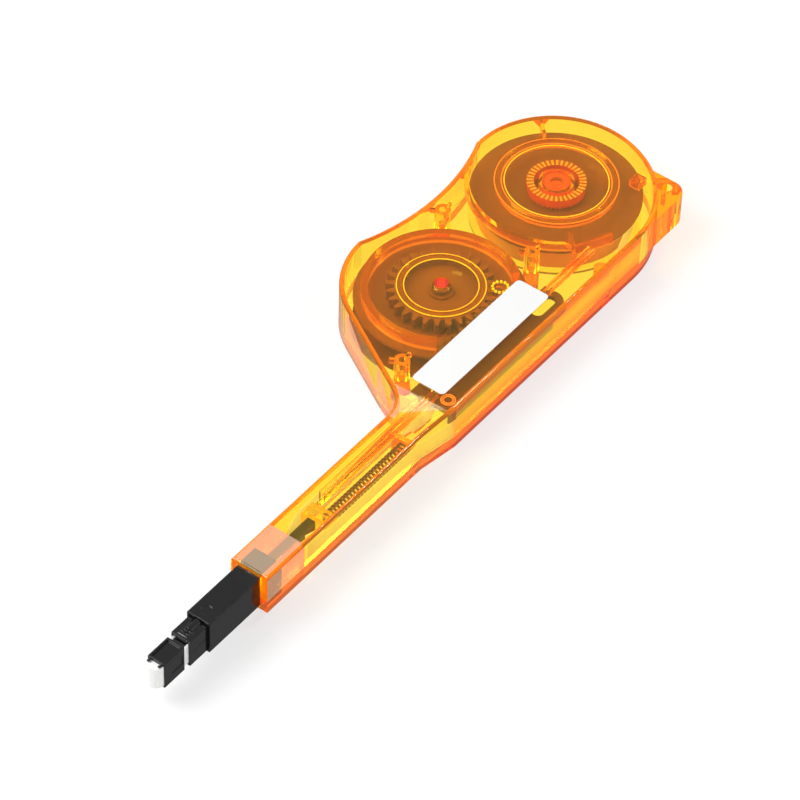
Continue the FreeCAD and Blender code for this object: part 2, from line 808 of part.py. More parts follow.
for low, high in ((-rail_half - S.guide_rib_wall, -rail_half), (rail_half, rail_half + S.guide_rib_wall)):
    rails.rectangle(-S.guide_rib_from, S.guide_rib_to, low - S.rail_middle, high - S.rail_middle)
raise_rails()
rails, raise_rails = hang("NoseRails", UNDER_NOSE - UNDER_BODY, level=UNDER_NOSE)
for low, high in ((-rail_half - S.guide_rib_wall, -rail_half), (rail_half, rail_half + S.guide_rib_wall)):
    rails.rectangle(-S.guide_rib_from, -S.ramp_end, low - S.rail_middle, high - S.rail_middle)
raise_rails()
for name, x, y in (("A", S.boss_a_x, S.boss_a_y), ("B", S.boss_b_x, -S.boss_b_y), ("C", S.boss_c_x, -S.boss_c_y)):
    boss, raise_boss = hang(f"Boss{name}", UNDER_BODY - S.boss_meet)
    boss.circle(x, y, S.boss_radius)
    boss.circle(x, y, S.boss_bore)
    raise_boss()
    ear = Drawing(upper, f"Ear{name}", level=UNDER_BODY, x=x, y=y)
    ear_start = (S.boss_radius + S.boss_bore) / 2
    ear.rectangle(ear_start, S.boss_radius + S.ear_reach, -S.ear_width / 2, S.ear_width / 2)
    polar(upper, ear.pad(S.ear_depth, reverse=True), S.ear_count, (ear.sketch, ["N_Axis"]))


def small_rib(name, x0, y0, x1, y1, wall, depth):
    """A straight rib under the cover from one point to another."""
    run, rise = x1.value - x0.value, y1.value - y0.value
    span = math.hypot(run, rise)
    shift_x, shift_y = wall * (-rise / span / 2), wall * (run / span / 2)
    rib, raise_rib = hang(name, depth)
    rib.polygon([(x0 + shift_x, y0 + shift_y), (x1 + shift_x, y1 + shift_y),
                 (x1 - shift_x, y1 - shift_y), (x0 - shift_x, y0 - shift_y)])
    raise_rib()


small_rib("LeadWall", S.lead_wall_from_x, -S.lead_wall_from_y, S.lead_wall_to_x, -S.lead_wall_to_y,
          S.small_rib_wall, S.fence_depth)
small_rib("StopWall", S.stop_from_x, -S.stop_from_y, S.stop_to_x, -S.stop_to_y,
          S.small_rib_wall, S.small_rib_depth)
spoke_turn = math.radians(S.spoke_angle.value)
spoke_in, spoke_out = S.spoke_inner, S.drum_radius - S.case_wall / 2
small_rib("Spoke", S.supply_x + spoke_in * math.cos(spoke_turn), S.supply_y + spoke_in * math.sin(spoke_turn),
          S.supply_x + spoke_out * math.cos(spoke_turn), S.supply_y + spoke_out * math.sin(spoke_turn),
          S.small_rib_wall, S.small_rib_depth)
clip, raise_clip = hang("TailClip", S.small_rib_depth)
half_clip = S.clip_size / 2
inner_clip = half_clip - S.small_rib_wall / 2
clip.rectangle(S.clip_x - half_clip, S.clip_x + half_clip, -S.clip_y - half_clip, half_clip - S.clip_y)
clip.rectangle(S.clip_x - inner_clip, S.clip_x + inner_clip, -S.clip_y - inner_clip, inner_clip - S.clip_y)
raise_clip()
petal = Drawing(upper, "Petal", level=UNDER_BODY, x=S.rosette_x, y=-S.rosette_y)
petal.circle(S.rosette_radius, 0, S.petal_radius)
polar(upper, petal.pad(S.rosette_depth, reverse=True), S.petal_count, (petal.sketch, ["N_Axis"]))

# ---------------------------------------------------------------- lower shell

lower = new_body("lower_shell")
base = Drawing(lower, "BaseOutline")
outline(base, 0, -S.nose_front).pad(S.nose_parting)
over = Drawing(lower, "BaseParting", "XZ_Plane")
over.polygon([
    (-S.step_start, S.nose_parting),
    (S.step_end, S.body_parting),
    (S.nose_front * 2, S.body_parting),
    (S.nose_front * 2, S.nose_parting + 2),
    (-S.step_start, S.nose_parting + 2),
]).through(ACROSS)
under = Drawing(lower, "NoseUnderside", "XZ_Plane")
under.polygon([
    (-S.nose_front * 2, -S.nose_bottom),
    (S.step_end, -S.nose_bottom),
    (S.step_end, 0),
    (-S.step_start, S.nose_bottom),
    (-S.nose_front * 2, S.nose_bottom),
]).through(ACROSS)
round_edges(lower, "BaseRim", S.seam_radius, lambda edge: follows(edge, bottom_at))

trough = Drawing(lower, "NoseTrough", level=S.nose_parting)
outline(trough, S.case_wall, S.collar_length - S.nose_front).pocket(S.nose_parting - NOSE_FLOOR)
tub = Drawing(lower, "BodyTub", level=S.nose_parting)
outline(tub, S.case_wall, S.step_end + S.case_wall, nose=False).pocket(S.nose_parting - S.floor_plate)
step_room = Drawing(lower, "StepRoom", "XZ_Plane", level=NOSE_MIDDLE)
step_room.polygon([
    (-S.step_start, NOSE_FLOOR),
    (S.step_end, S.floor_plate),
    (S.step_end + S.case_wall, S.floor_plate),
    (S.step_end + S.case_wall, S.nose_parting),
    (-S.step_start, S.nose_parting),
]).through(S.nose_width - S.case_wall * 2)
mouth = Drawing(lower, "BaseMouth", "YZ_Plane", level=-S.nose_front - 1)
mouth.rectangle(
    -S.sleeve_middle - SLEEVE_HALF - S.slide_gap, SLEEVE_HALF - S.sleeve_middle + S.slide_gap,
    S.sleeve_bottom - S.slide_gap, S.nose_parting + 1,
).pocket(S.collar_length + 1, reverse=True)


def stand(name, top, level=S.floor_plate):
    """A drawing on the floor of the lower shell and the pad that rises from it to a height."""
    drawing = Drawing(lower, name, level=level)
    return drawing, lambda: drawing.pad(size(top) - level)


for name, x, y in (("Takeup", S.takeup_x, S.takeup_y), ("Supply", S.supply_x, S.supply_y)):
    foot, raise_foot = stand(f"{name}Foot", S.floor_plate + S.post_foot_height)
    foot.circle(x, y, S.post_foot_radius)
    raise_foot()
post, raise_post = stand("TakeupPost", S.body_top - S.slide_gap)
post.circle(S.takeup_x, S.takeup_y, S.takeup_post_radius)
raise_post()
post, raise_post = stand("SupplyPost", S.supply_post_top)
post.circle(S.supply_x, S.supply_y, S.supply_post_radius)
raise_post()
hollow = Drawing(lower, "SupplyPostBore", level=S.supply_post_top)
hollow.circle(S.supply_x, S.supply_y, S.supply_post_bore).pocket(S.supply_post_top - S.floor_plate)
pin, raise_pin = stand("FeedPin", S.guide_pin_top)
pin.circle(S.feed_pin_x, -S.feed_pin_y, S.guide_pin_radius)
raise_pin()
pin, raise_pin = stand("ReturnPin", S.guide_pin_top)
pin.circle(S.return_pin_x, -S.return_pin_y, S.guide_pin_radius)
raise_pin()
for name, x, y in (("A", S.boss_a_x, S.boss_a_y), ("B", S.boss_b_x, -S.boss_b_y), ("C", S.boss_c_x, -S.boss_c_y)):
    boss, raise_boss = stand(f"Post{name}", S.boss_meet)
    boss.circle(x, y, S.boss_radius)
    raise_boss()
    peg = Drawing(lower, f"Peg{name}", level=S.boss_meet)
    peg.circle(x, y, S.boss_bore - S.hub_bore_gap).pad(S.peg_length)
wall = Drawing(lower, "Abutment", level=NOSE_FLOOR)
wall.rectangle(-S.abutment_x, S.abutment_wall - S.abutment_x, -S.abutment_near, -S.abutment_far)
wall.pad(S.abutment_top - NOSE_FLOOR)
peg = Drawing(lower, "AbutmentPeg", "YZ_Plane", level=-S.abutment_x)
peg.circle(-S.spring_y, S.spring_z, S.seat_peg_radius).pad(S.abutment_peg_length, reverse=True)

# ---------------------------------------------------------------- label

label = new_body("label", S.label_left, -S.label_far - S.label_width, S.body_top - S.label_thickness)
Drawing(label, "Label").rectangle(0, S.label_length, 0, S.label_width).pad(S.label_thickness)
round_edges(label, "LabelCorners", S.label_corner,
            lambda edge: abs(edge.tangentAt(edge.FirstParameter).z) > 0.9)

# ---------------------------------------------------------------- drive gear

gear = new_body("drive_gear", S.takeup_x, S.takeup_y, S.gear_bottom)
tip = PITCH_RADIUS + S.gear_module
root = PITCH_RADIUS - S.gear_module * 1.25
Drawing(gear, "GearBlank").circle(0, 0, tip).pad(S.gear_top - S.gear_bottom)
Drawing(gear, "GearDish", level=S.gear_top - S.gear_bottom).circle(
    0, 0, root - S.gear_rim).pocket(S.gear_top - S.gear_bottom - S.gear_web)
Drawing(gear, "GearHub", level=S.gear_web).circle(
    0, 0, S.gear_hub_radius).pad(S.gear_hub_top - S.gear_bottom - S.gear_web)
Drawing(gear, "GearBore", level=S.gear_top - S.gear_bottom).circle(
    0, 0, S.takeup_post_radius + S.hub_bore_gap).pocket(S.gear_top - S.gear_bottom)
slope = size(math.tan(math.radians(S.pressure_angle.value)))
half_gap = PITCH / 4 + S.tooth_play
flare = S.gear_module * slope
gap = Drawing(gear, "ToothGap", level=S.gear_top - S.gear_bottom)
gap.polygon([
    (-half_gap + flare * 1.1, -root),
    (-half_gap, -PITCH_RADIUS),
    (-half_gap - flare * 1.5, -tip - 0.2),
    (half_gap + flare * 1.5, -tip - 0.2),
    (half_gap, -PITCH_RADIUS),
    (half_gap - flare * 1.1, -root),
])
polar(gear, gap.pocket(S.gear_top - S.gear_bottom), S.gear_teeth)

# ---------------------------------------------------------------- springs


def wind(name, x, y, z, radius, wire, turns, length, plane, axis):
    """A coil spring whose wire ends stand half a wire inside its length."""
    body = new_body(name, x, y, z)
    drawing = Drawing(body, f"{name}_wire", plane)
    if axis == "V_Axis":
        drawing.circle(radius, wire / 2, wire / 2)
    else:
        drawing.circle(wire / 2, radius, wire / 2)
    height = length - wire
    drawing.coil(axis, height / turns, height)
    doc.recompute()
    return body


wind("clutch_spring", S.takeup_x, S.takeup_y, S.gear_hub_top, S.clutch_coil_radius, S.clutch_wire,
     S.clutch_turns, UNDER_BODY - S.gear_hub_top, "XZ_Plane", "V_Axis")
wind("return_spring", -S.carriage_rear, -S.spring_y, S.spring_z, S.spring_radius, S.spring_wire,
     S.spring_turns, S.carriage_rear - S.abutment_x, "XY_Plane", "H_Axis")
STEM_MIDDLE = (S.stem_bottom + S.stem_top) / 2
wind("head_spring", -S.stem_rear, -S.sleeve_middle, STEM_MIDDLE, S.head_coil_radius, S.head_coil_wire,
     S.head_coil_turns, S.stem_rear - S.bulkhead_x, "XY_Plane", "H_Axis")

# ---------------------------------------------------------------- reels


def reel(name, x, y, flange_radius, post_radius, top):
    """A hub with its lower flange and a spigot that carries the upper flange."""
    body = new_body(name, x, y, S.reel_bottom)
    Drawing(body, f"{name}_flange").circle(0, 0, flange_radius).pad(S.flange_thickness)
    Drawing(body, f"{name}_hub").circle(0, 0, S.hub_radius).pad(FLANGE_LEVEL - S.reel_bottom)
    Drawing(body, f"{name}_spigot").circle(0, 0, post_radius + S.spigot_wall).pad(top - S.reel_bottom)
    Drawing(body, f"{name}_bore", level=top - S.reel_bottom).circle(
        0, 0, post_radius + S.hub_bore_gap).pocket(top - S.reel_bottom)
    return body


def flange(name, x, y, radius, post_radius):
    """An upper flange that seats on the hub."""
    body = new_body(name, x, y, FLANGE_LEVEL)
    Drawing(body, f"{name}_disc").circle(0, 0, radius).pad(S.flange_thickness)
    Drawing(body, f"{name}_hole", level=S.flange_thickness).circle(
        0, 0, post_radius + S.spigot_wall).pocket(S.flange_thickness)
    return body


def roll(name, x, y, radius):
    """The wound tape on a hub."""
    body = new_body(name, x, y, TAPE_LOW)
    drawing = Drawing(body, f"{name}_turns")
    drawing.circle(0, 0, radius)
    drawing.circle(0, 0, S.hub_radius)
    drawing.pad(S.tape_width)
    return body


FLANGE_TOP = FLANGE_LEVEL + S.flange_thickness
reel("takeup_reel", S.takeup_x, S.takeup_y, S.takeup_flange_radius, S.takeup_post_radius, FLANGE_TOP)
flange("takeup_flange", S.takeup_x, S.takeup_y, S.takeup_flange_radius, S.takeup_post_radius)
roll("takeup_roll", S.takeup_x, S.takeup_y, S.takeup_roll_radius)
reel("supply_reel", S.supply_x, S.supply_y, S.supply_flange_radius, S.supply_post_radius, FLANGE_TOP)
flange("supply_flange", S.supply_x, S.supply_y, S.supply_flange_radius, S.supply_post_radius)
roll("supply_roll", S.supply_x, S.supply_y, S.supply_roll_radius)

# ---------------------------------------------------------------- toothed ring under the cover

detent = new_body("detent_ring", S.supply_x, S.supply_y, UNDER_BODY - S.detent_height)
Drawing(detent, "DetentRing").circle(0, 0, S.detent_outer).circle(0, 0, S.detent_inner).pad(S.detent_height)
notch = Drawing(detent, "DetentNotch", level=S.detent_tooth_depth)
notch_half = size(math.pi) * S.detent_outer / S.detent_teeth / 2
notch.rectangle(S.detent_inner - 1, S.detent_outer + 1, -notch_half, notch_half)
polar(detent, notch.pocket(S.detent_tooth_depth), S.detent_teeth)

# ---------------------------------------------------------------- rack slider

slider = new_body("rack_slider", 0, 0, S.slider_bottom)
finger_y = S.finger_radius - S.slider_near
rack_edge = S.takeup_y - PITCH_RADIUS - S.gear_module * 1.25
plate = Drawing(slider, "SliderPlate")
plate.rectangle(S.slider_start, S.slider_wide_end, -S.slider_near, rack_edge - S.rack_body / 2).pad(S.slider_plate)
finger = Drawing(slider, "Finger")
finger.slot((S.slider_wide_end + S.finger_end - S.finger_root) / 2, finger_y,
            S.finger_end - S.slider_wide_end + S.finger_root, S.finger_radius).pad(S.slider_plate)
window = Drawing(slider, "FingerSlot", level=S.slider_plate)
window.slot(S.finger_end - S.slot_length / 2, finger_y, S.slot_length, S.slot_radius).pocket(S.slider_plate)
skirt = Drawing(slider, "Skirt")
skirt.rectangle(S.slider_start, S.skirt_end, -S.slider_near, S.skirt_wall - S.slider_near)
skirt.pad(S.slider_bottom - S.skirt_bottom, reverse=True)
first_tooth = S.takeup_x - PITCH * S.rack_before
rack_length = PITCH * S.rack_teeth
bar = Drawing(slider, "RackBar")
bar.rectangle(first_tooth - PITCH / 2, first_tooth - PITCH / 2 + rack_length, rack_edge - S.rack_body, rack_edge)
bar.pad(S.rack_top - S.slider_bottom)
half_tooth = PITCH / 4 - S.tooth_play
tooth = Drawing(slider, "RackTooth")
tooth.polygon([
    (first_tooth - half_tooth - flare * 1.25, rack_edge),
    (first_tooth + half_tooth + flare * 1.25, rack_edge),
    (first_tooth + half_tooth - flare, rack_edge + S.gear_module * 2.25),
    (first_tooth - half_tooth + flare, rack_edge + S.gear_module * 2.25),
])
linear(slider, tooth.pad(S.rack_top - S.slider_bottom), S.rack_teeth, PITCH)
tab = Drawing(slider, "Tab", level=S.slider_plate)
tab.rectangle(S.tab_start, S.tab_start + S.tab_length, -S.rail_middle - S.rod_width / 2, S.rod_width / 2 - S.rail_middle)
tab.pad(S.tab_top - SLIDER_TOP)

# ---------------------------------------------------------------- push rod and spring carriage

rod = new_body("push_rod", 0, 0, SLIDER_TOP)
Drawing(rod, "Rod").rectangle(
    -S.carriage_rear, S.slider_start + S.rod_overlap, -S.rail_middle - S.rod_width / 2, S.rod_width / 2 - S.rail_middle,
).pad(S.rod_height)

carriage = new_body("spring_carriage", 0, 0, S.carriage_bottom)
block = Drawing(carriage, "CarriageBlock")
block.rectangle(-S.carriage_front, -S.carriage_rear, -S.carriage_near, -S.carriage_far)
block.pad(CARRIAGE_TOP - S.carriage_bottom)
cut = Drawing(carriage, "CarriageRoom", level=CARRIAGE_TOP - S.carriage_bottom)
cut.rectangle(S.carriage_wall - S.carriage_front, -S.carriage_wall - S.carriage_rear,
              S.carriage_wall - S.carriage_near, -S.carriage_wall - S.carriage_far)
cut.pocket(CARRIAGE_TOP - S.carriage_bottom - S.carriage_wall)
peg = Drawing(carriage, "SeatPeg", "YZ_Plane", level=-S.carriage_rear)
peg.circle(-S.spring_y, S.spring_z - S.carriage_bottom, S.seat_peg_radius).pad(S.seat_peg_length)

# ---------------------------------------------------------------- sleeve


def channel(body, name, low, high, wall, open_top):
    """A U-shaped channel along X that makes half of the sleeve."""
    half, inner = SLEEVE_HALF, SLEEVE_HALF - wall
    middle = -S.sleeve_middle
    if open_top:
        points = [(middle - half, low), (middle + half, low), (middle + half, high), (middle + inner, high),
                  (middle + inner, low + wall), (middle - inner, low + wall), (middle - inner, high),
                  (middle - half, high)]
    else:
        points = [(middle - half, low), (middle - inner, low), (middle - inner, high - wall),
                  (middle + inner, high - wall), (middle + inner, low), (middle + half, low),
                  (middle + half, high), (middle - half, high)]
    drawing = Drawing(body, name, "YZ_Plane", level=-S.sleeve_front)
    drawing.polygon(points).pad(S.sleeve_front - S.sleeve_rear)


def runs_along(edge, level):
    """Whether an edge is one of the sleeve's long outer edges at a height."""
    points = [vertex.Point for vertex in edge.Vertexes]
    return (len(points) == 2 and abs(points[0].x - points[1].x) > 1
            and all(abs(p.z - level.value) < 0.01
                    and abs(abs(p.y + S.sleeve_middle.value) - SLEEVE_HALF.value) < 0.01 for p in points))


sleeve_low = new_body("sleeve_lower")
channel(sleeve_low, "SleeveLower", S.sleeve_bottom, S.sleeve_parting, S.sleeve_wall, True)
bulkhead = Drawing(sleeve_low, "Bulkhead", level=S.sleeve_bottom + S.sleeve_wall)
bulkhead.rectangle(-S.bulkhead_x, S.bulkhead_wall - S.bulkhead_x,
                   -S.sleeve_middle - S.stem_width / 2, S.stem_width / 2 - S.sleeve_middle)
bulkhead.pad(S.stem_top - S.sleeve_bottom - S.sleeve_wall)

sleeve_up = new_body("sleeve_upper")
channel(sleeve_up, "SleeveUpper", S.sleeve_parting, S.sleeve_top, S.sleeve_wall, False)
tongue = Drawing(sleeve_up, "Tongue", "YZ_Plane", level=-S.bulkhead_x + S.bulkhead_wall)
tongue.rectangle(-S.sleeve_middle - S.tongue_width / 2, S.tongue_width / 2 - S.sleeve_middle,
                 S.tongue_bottom, S.sleeve_top - S.sleeve_wall)
tongue.pad(S.bulkhead_x - S.bulkhead_wall - S.sleeve_rear)
tongue = Drawing(sleeve_up, "TongueReach", "YZ_Plane", level=-S.sleeve_rear)
tongue.rectangle(-S.sleeve_middle - S.tongue_width / 2, S.tongue_width / 2 - S.sleeve_middle,
                 S.tongue_bottom, S.tongue_top)
tongue.pad(S.sleeve_rear - S.carriage_front)
for body, level in ((sleeve_low, S.sleeve_bottom), (sleeve_up, S.sleeve_top)):
    round_edges(body, f"{body.Label}_edges", S.sleeve_edge, lambda edge: runs_along(edge, level))
for name, x in (("Front", -S.sleeve_front + S.ejector_mark), ("Rear", -S.nose_front - S.ejector_mark / 2)):
    mark = Drawing(sleeve_up, f"Ejector{name}", level=S.sleeve_top)
    mark.circle(x, -S.sleeve_middle, S.ejector_mark / 2).pocket(S.ejector_depth)

# ---------------------------------------------------------------- neck

neck = new_body("neck")
half = S.neck_width / 2
inner = half - S.neck_wall
middle = -S.sleeve_middle
section = Drawing(neck, "NeckSection", "YZ_Plane", level=-S.neck_front)
section.rectangle(middle - half, middle + half, S.neck_bottom, S.neck_top).pad(S.neck_front - S.neck_rear)
hole = Drawing(neck, "NeckRoom", "YZ_Plane", level=-S.neck_front - 1)
hole.rectangle(middle - inner, middle + inner, S.neck_bottom + S.neck_wall, S.neck_top - S.neck_roof)
hole.pocket(S.neck_front - S.neck_rear + 2, reverse=True)
for name, low, high in (("Near", middle - half, middle - half + S.neck_groove / 2),
                        ("Far", middle + half - S.neck_groove / 2, middle + half)):
    groove = Drawing(neck, f"Groove{name}", "YZ_Plane", level=-S.neck_front - 1)
    groove.rectangle(low, high, S.neck_split - S.neck_groove / 2, S.neck_split + S.neck_groove / 2)
    groove.pocket(S.neck_front - S.sleeve_front + 1, reverse=True)
saddle = Drawing(neck, "Saddle", "YZ_Plane", level=-S.sleeve_front - S.saddle_length)
saddle.circle(middle, S.neck_top + S.saddle_rise - S.saddle_radius, S.saddle_radius).pad(S.saddle_length)
for index in (1, 2):
    start = S.saddle_length + (S.collar_rib_length + S.collar_rib_gap) * index
    rib = Drawing(neck, f"CollarRib{index}", "YZ_Plane", level=-S.sleeve_front - start)
    rib.circle(middle, S.neck_top + S.saddle_rise - S.saddle_radius, S.saddle_radius).pad(S.collar_rib_length)
room = Drawing(neck, "SaddleClear", "YZ_Plane", level=-S.neck_front - 1)
room.rectangle(middle - inner, middle + inner, S.neck_bottom + S.neck_wall, S.neck_top - S.neck_roof)
room.pocket(S.neck_front - S.neck_rear + 2, reverse=True)

# ---------------------------------------------------------------- cleaning head

head = new_body("cleaning_head")
half = S.head_width / 2
block = Drawing(head, "HeadBlock", "YZ_Plane", level=-S.head_front)
block.rectangle(middle - half, middle + half, S.head_bottom, S.head_top).pad(S.head_front - S.head_rear)
stem = Drawing(head, "Stem", "YZ_Plane", level=-S.head_rear)
stem.rectangle(middle - S.stem_width / 2, middle + S.stem_width / 2, S.stem_bottom, S.stem_top)
stem.pad(S.head_rear - S.stem_rear)
slots = Drawing(head, "TapeSlots", "YZ_Plane", level=-S.head_front - 1)
slots.rectangle(middle - S.slot_outer, middle - S.slot_inner, S.slot_bottom, S.slot_top)
slots.rectangle(middle + S.slot_inner, middle + S.slot_outer, S.slot_bottom, S.slot_top)
slots.pocket(S.head_front - S.head_rear + 2, reverse=True)
cup = Drawing(head, "Trough", level=S.head_top)
cup.rectangle(-S.head_front + S.trough_rim, -S.head_rear - S.trough_rim,
              middle - half + S.trough_rim, middle + half - S.trough_rim)
cup.pocket(S.trough_depth)
for name, level in (("Near", S.sleeve_middle + half), ("Far", S.sleeve_middle - half + S.window_depth)):
    side = Drawing(head, f"Window{name}", "XZ_Plane", level=level)
    mid = (S.head_bottom + S.head_top) / 2
    side.polygon([
        (-S.head_rear - S.window_inset, mid - S.window_height / 2),
        (-S.head_rear - S.window_inset, mid + S.window_height / 2),
        (-S.head_rear - S.window_length + S.window_chamfer, mid + S.window_height / 2),
        (-S.head_rear - S.window_length, mid + S.window_height / 2 - S.window_chamfer),
        (-S.head_rear - S.window_length, mid - S.window_height / 2),
    ])
    side.pocket(S.window_depth)

for name, side in (("Near", -S.prong_spread), ("Far", S.prong_spread)):
    prong = Drawing(head, f"Prong{name}", "YZ_Plane", level=-S.head_front)
    prong.circle(middle + side, S.head_top - S.prong_drop + S.prong_radius, S.prong_radius)
    prong.pad(S.prong_length, reverse=True)
pad_body = new_body("head_pad", -S.head_front, middle, S.pad_bottom)
Drawing(pad_body, "PadRound").circle(0, 0, S.pad_radius).pad(S.tape_width)
trim = Drawing(pad_body, "PadBack", level=S.tape_width)
trim.rectangle(0, S.pad_radius * 2, -S.pad_radius * 2, S.pad_radius * 2).pocket(S.tape_width)

# ---------------------------------------------------------------- tape

loop = new_body("tape_head_loop", 0, 0, TAPE_HIGH)
bend = Drawing(loop, "TapeLoop")
loop_in = S.pad_radius + S.tape_play
loop_out = loop_in + S.tape_thickness
front, tail = -S.head_front, -S.tape_tail
sides = []
for radius in (loop_in, loop_out):
    r, m = radius.value, middle.value
    round_end = bend.arc(front.value, m, r, 90, 270)
    far = bend.line(tail.value, m + r, front.value, m + r)
    near = bend.line(front.value, m - r, tail.value, m - r)
    bend.relate("Tangent", far, 2, round_end, 1)
    bend.relate("Tangent", round_end, 2, near, 1)
    bend.relate("Horizontal", far)
    bend.relate("Horizontal", near)
    bend.place(round_end, 3, front, middle)
    bend.dimension("Radius", round_end, radius)
    bend.dimension("DistanceX", -1, 1, far, 1, tail)
    bend.dimension("DistanceX", -1, 1, near, 2, tail)
    sides.append((far, near))
for (inner_line, outer_line), point in ((tuple(pair[0] for pair in sides), 1), (tuple(pair[1] for pair in sides), 2)):
    y_in = middle.value + (loop_in.value if point == 1 else -loop_in.value)
    y_out = middle.value + (loop_out.value if point == 1 else -loop_out.value)
    end = bend.line(tail.value, y_in, tail.value, y_out)
    bend.relate("Coincident", end, 1, inner_line, point)
    bend.relate("Coincident", end, 2, outer_line, point)
bend.pad(S.tape_width)


def ribbon(name, route, width, thickness):
    """A standing ribbon along points (x, y, z of its lower edge), thickened to both sides of the route."""
    left, right = [], []
    for index, (x, y, z) in enumerate(route):
        before = route[max(index - 1, 0)]
        after = route[min(index + 1, len(route) - 1)]
        legs = []
        for a, b in ((before, (x, y, z)), ((x, y, z), after)):
            step = Vector(b[0] - a[0], b[1] - a[1], 0)
            if step.Length > 1e-9:
                legs.append(step.normalize())
        across = sum((Vector(-leg.y, leg.x, 0) for leg in legs), Vector())
        across.normalize()
        reach = thickness / 2 / across.dot(Vector(-legs[0].y, legs[0].x, 0))
        left.append(Vector(x, y, z) + across * reach)
        right.append(Vector(x, y, z) - across * reach)
    up = Vector(0, 0, width)
    faces = []
    for side in (left, right):
        for a, b in zip(side, side[1:]):
            faces.append(Part.Face(Part.makePolygon([a, b, b + up, a + up, a])))
    for n in range(len(route) - 1):
        for lift in (Vector(), up):
            near, far = left[n] + lift, right[n + 1] + lift
            for corner in (left[n + 1] + lift, right[n] + lift):
                faces.append(Part.Face(Part.makePolygon([near, corner, far, near])))
    for n in (0, -1):
        corners = [left[n], right[n], right[n] + up, left[n] + up, left[n]]
        faces.append(Part.Face(Part.makePolygon(corners)))
    solid = Part.Solid(Part.Shell(faces))
    if solid.Volume < 0:
        solid.reverse()
    feature = doc.addObject("Part::Feature", name)
    feature.Label = name
    feature.Shape = solid
    return feature


def arc_points(x, y, radius, start, end, steps, z):
    """Points along an arc from one angle to another, in degrees."""
    points = []
    for step in range(steps + 1):
        angle = math.radians(start + (end - start) * step / steps)
        points.append((x + radius * math.cos(angle), y + radius * math.sin(angle), z))
    return points


def outer_tangent(x0, y0, r0, x1, y1, r1):
    """Angle, in degrees, of the points where a line runs below two circles from the first to the second."""
    span = math.hypot(x1 - x0, y1 - y0)
    heading = math.atan2(y1 - y0, x1 - x0)
    return math.degrees(heading - math.acos((r0 - r1) / span))


half_tape = S.tape_thickness.value / 2
low, high = TAPE_LOW.value, TAPE_HIGH.value
pin_x, pin_y = S.feed_pin_x.value, -S.feed_pin_y.value
pin_r = S.guide_pin_radius.value + S.tape_play.value + half_tape
supply_r = S.supply_roll_radius.value + S.tape_play.value + half_tape
takeup_r = S.takeup_roll_radius.value + S.tape_play.value + half_tape
leave = outer_tangent(pin_x, pin_y, pin_r, S.supply_x.value, S.supply_y.value, supply_r)
near_y = pin_y - pin_r
middle_y = -S.sleeve_middle.value

feed_route = [
    (-S.run_end.value, middle_y - S.run_end_spread.value, high),
    (-S.run_bend.value, near_y, high),
    (-S.step_start.value, near_y, high),
    (S.step_end.value, near_y, low),
]
feed_route += arc_points(pin_x, pin_y, pin_r, -90, leave, 3, low)
feed_route += arc_points(S.supply_x.value, S.supply_y.value, supply_r, leave, leave + S.tape_meet.value, 4, low)
ribbon("tape_feed_run", feed_route, S.tape_width.value, S.tape_thickness.value)

back_x, back_y = S.return_pin_x.value, -S.return_pin_y.value
meet = outer_tangent(back_x, back_y, pin_r, S.takeup_x.value, S.takeup_y.value, takeup_r)
far_y = back_y - pin_r
return_route = [
    (-S.run_end.value, middle_y + S.run_end_spread.value, high),
    (-S.run_bend.value, far_y, high),
    (-S.step_start.value, far_y, high),
    (S.step_end.value, far_y, low),
]
return_route += arc_points(back_x, back_y, pin_r, -90, meet, 3, low)
return_route += arc_points(S.takeup_x.value, S.takeup_y.value, takeup_r, meet, meet + S.tape_meet.value, 6, low)
ribbon("tape_return_run", return_route, S.tape_width.value, S.tape_thickness.value)

# ---------------------------------------------------------------- checks and export

doc.recompute()
for item in doc.Objects:
    bad = [state for state in item.State if state in ("Invalid", "Error")]
    if bad:
        raise RuntimeError(f"{item.Label}: {bad}")
NODES = [item for item in doc.Objects if item.isDerivedFrom("PartDesign::Body")]
NODES += [item for item in doc.Objects if item.TypeId == "Part::Feature"]
for item in NODES:
    shape = item.Shape
    if shape.isNull() or not shape.isValid() or len(shape.Solids) != 1:
        raise RuntimeError(f"{item.Label}: null, invalid or not one solid ({len(shape.Solids)})")
os.makedirs("parts", exist_ok=True)
for item in NODES:
    item.Shape.exportStep(f"parts/{item.Label}.step")
    box = item.Shape.BoundBox
    print(f"{item.Label:18s} {item.Shape.Volume:9.1f} mm3  x {box.XMin:8.2f} {box.XMax:8.2f}"
          f"  y {box.YMin:7.2f} {box.YMax:7.2f}  z {box.ZMin:6.2f} {box.ZMax:6.2f}")
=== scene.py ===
"""Fibre connector cleaning pen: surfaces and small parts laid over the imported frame, as a Blender add-on."""
import math

import bmesh
import bpy
from bpy.props import FloatProperty, FloatVectorProperty, IntProperty, PointerProperty
from mathutils import Matrix, Vector


